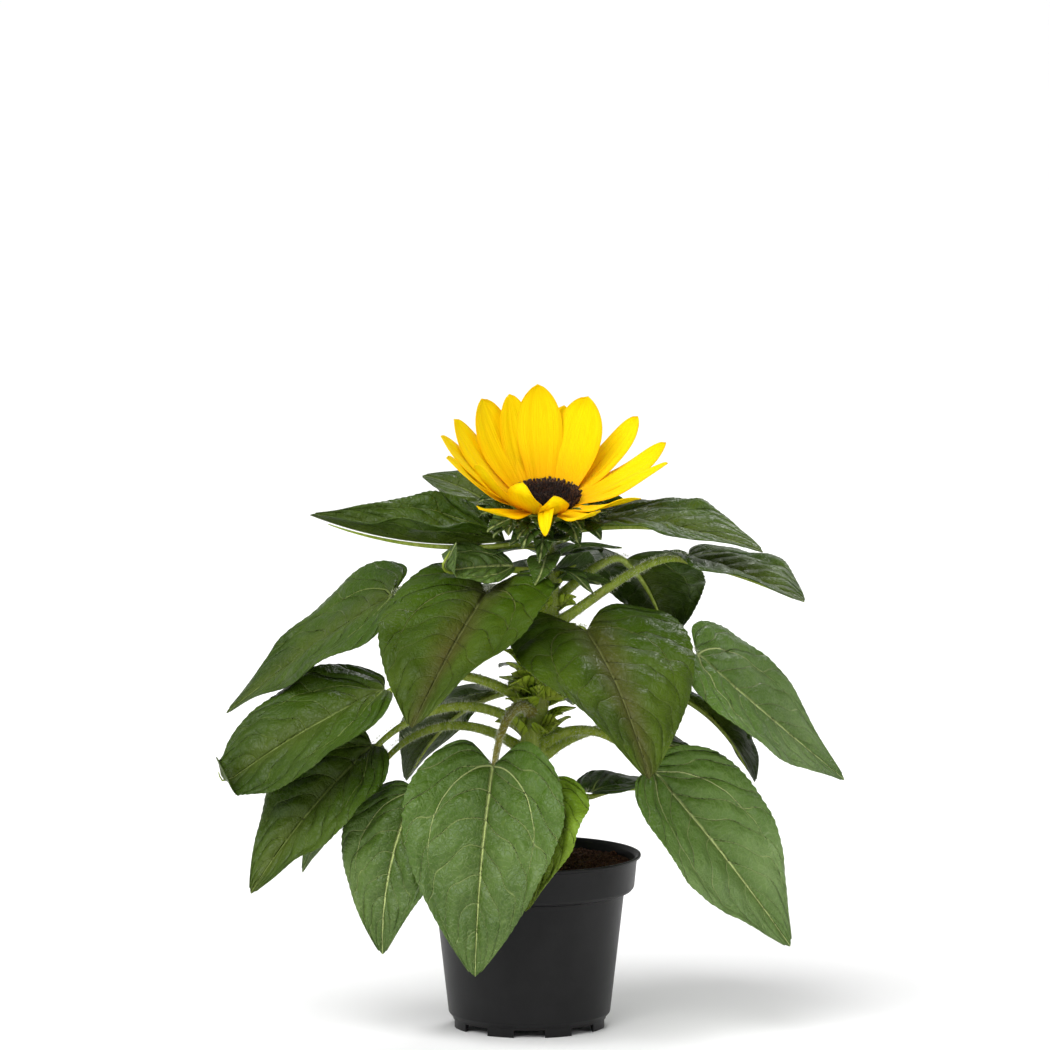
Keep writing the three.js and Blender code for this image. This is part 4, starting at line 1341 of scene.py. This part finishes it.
soil_finish, soil_tree, soil_shader = material("coir", Roughness=0.95)
soil_shader.inputs["Specular IOR Level"].default_value = 0.2
soil_place = node(soil_tree, "TexCoord").outputs["Object"]
soil_grain = noise_of(soil_tree, soil_place, 520, 6, 0.7)
soil_colours = [(0.32, (0.018, 0.007, 0.005)), (0.5, (0.070, 0.028, 0.018)), (0.68, (0.20, 0.090, 0.055))]
soil_tree.links.new(ramp(soil_tree, soil_grain, soil_colours), soil_shader.inputs["Base Color"])
bumped(soil_tree, soil_shader, soil_grain, 0.0015)
finish_piece(plug, [soil_finish], ["potting_soil"])
print("soil plug:", len(plug.data.polygons), "faces")

# %% Crumbs and fibres
CRUMBS, FIBRES = 2600, 320
crumb_places, fibre_places = [], []
while len(crumb_places) < CRUMBS:
    x, y = rng.uniform(-59.5, 59.5, 2)
    if 9 < math.hypot(x, y) < 58.6:
        size = rng.lognormal(-0.15, 0.4) * MM
        lumpy = (size * rng.uniform(0.7, 1.3), size * rng.uniform(0.7, 1.3), size * rng.uniform(0.5, 0.9))
        spot = np.array((x, y, soil_height(x, y))) * MM
        crumb_places.append((turn_towards(rng.normal(0, 1, 3), lumpy, rng.uniform(0, 6)), spot))
while len(fibre_places) < FIBRES:
    x, y = rng.uniform(-56, 56, 2)
    if 10 < math.hypot(x, y) < 54:
        heading = rng.uniform(0, 6.3)
        flat = (math.cos(heading), math.sin(heading), rng.uniform(-0.05, 0.22))
        length = rng.uniform(3, 9) * MM
        spot = np.array((x, y, soil_height(x, y) + 0.5)) * MM
        fibre_places.append((turn_towards(flat, (0.13 * MM, 0.13 * MM, length)), spot))
bpy.ops.object.select_all(action="DESELECT")
bpy.ops.mesh.primitive_ico_sphere_add(subdivisions=1, radius=1)
crumbs = scattered("soil_crumbs", bpy.context.object, crumb_places)
finish_piece(crumbs, [soil_finish], [])
fibre_finish, fibre_tree, fibre_shader = material("coir_fibre", Roughness=0.8)
fibre_place = node(fibre_tree, "TexCoord").outputs["Object"]
fibre_colours = [(0.4, (0.05, 0.022, 0.012)), (0.62, (0.20, 0.10, 0.05))]
fibre_colour = ramp(fibre_tree, noise_of(fibre_tree, fibre_place, 110), fibre_colours)
fibre_tree.links.new(fibre_colour, fibre_shader.inputs["Base Color"])
fibres = scattered("soil_fibres", hair_model(), fibre_places)
finish_piece(fibres, [fibre_finish], [])
print("crumbs and fibres:", len(crumb_places), len(fibre_places))

# %% [markdown]
# ## Pot
#
# A thermoformed nursery pot has a thin wall, a stepped band under its lip and a raised foot with notches
# that let water out. It is a turned body, so it starts as one circle pulled through the wall's profile,
# outside and in. Its edges are then rounded, and the foot's notches and the drain holes are cut with
# booleans.

# %% Pot body
POT_PROFILE = [  # radius and height in millimetres: under the foot, up the outside, and down the inside
    (16, 0), (18, 5), (41.7, 5), (43.2, 0), (44.6, 0), (44.6, 5.5), (47.2, 8.5),
    (55.3, 79), (59.7, 80.5), (61.2, 82.5), (62.8, 99.1), (65, 99.9), (65, 101.5), (63.4, 101.5),
    (61.4, 99.6), (59.8, 83.5), (53.9, 80.6), (45.8, 9.9), (41.2, 6.4), (19, 6.4), (17, 1.4),
]
NOTCHES = 8
NOTCH_SIZE = (18 * MM, 12 * MM, 7.6 * MM)
NOTCH_CIRCLE, DRAIN_CIRCLE, DRAIN_RADIUS = 44.5, 33, 3.2  # millimetres
pot = turned("pot_shell", POT_PROFILE, 144)
rounding = pot.modifiers.new("rounded_edges", "BEVEL")
rounding.width, rounding.segments, rounding.limit_method = 0.5 * MM, 3, "ANGLE"
rounding.angle_limit = math.radians(20)
bpy.context.view_layer.objects.active = pot
bpy.ops.object.modifier_apply(modifier=rounding.name)
cutters = []
for k in range(NOTCHES):
    angle = math.radians(k * 360 / NOTCHES)
    out = Vector((math.sin(angle), -math.cos(angle), 0))
    bpy.ops.object.select_all(action="DESELECT")
    notch = out * NOTCH_CIRCLE * MM + Vector((0, 0, 0.8 * MM))
    bpy.ops.mesh.primitive_cube_add(size=1, location=notch, rotation=(0, 0, angle))
    bpy.context.object.scale = NOTCH_SIZE
    cutters.append(bpy.context.object)
    drain = out * DRAIN_CIRCLE * MM + Vector((0, 0, 6 * MM))
    bpy.ops.mesh.primitive_cylinder_add(vertices=24, radius=DRAIN_RADIUS * MM, depth=12 * MM, location=drain)
    cutters.append(bpy.context.object)
cutter = joined("pot_cutter", cutters)
bpy.ops.object.transform_apply(location=True, rotation=True, scale=True)
carve = pot.modifiers.new("notches_and_drains", "BOOLEAN")
carve.operation, carve.object, carve.solver = "DIFFERENCE", cutter, "EXACT"
bpy.context.view_layer.objects.active = pot
bpy.ops.object.modifier_apply(modifier=carve.name)
bpy.data.objects.remove(cutter)

# %% Pot finish
pot_finish, pot_tree, pot_shader = material("black_pot_plastic", Roughness=0.42)
pot_shader.inputs["Specular IOR Level"].default_value = 0.2
pot_place = node(pot_tree, "TexCoord").outputs["Object"]
pot_tone = noise_of(pot_tree, pot_place, 60, 4)
pot_colour = ramp(pot_tree, pot_tone, [(0.35, (0.0055, 0.0055, 0.0058)), (0.65, (0.008, 0.008, 0.0084))])
pot_tree.links.new(pot_colour, pot_shader.inputs["Base Color"])
dust = noise_of(pot_tree, pot_place, 24, 5, 0.65)
dusty = maths(pot_tree, "ADD", maths(pot_tree, "MULTIPLY", dust, 0.16), 0.34)
pot_tree.links.new(dusty, pot_shader.inputs["Roughness"])
bumped(pot_tree, pot_shader, noise_of(pot_tree, pot_place, 2200, 2), 0.00008)
finish_piece(pot, [pot_finish], ["pot"])
print("pot:", len(pot.data.polygons), "faces,", [round(d / MM, 1) for d in pot.dimensions], "mm")

# %% Bring the scene up to date
bpy.context.view_layer.update()
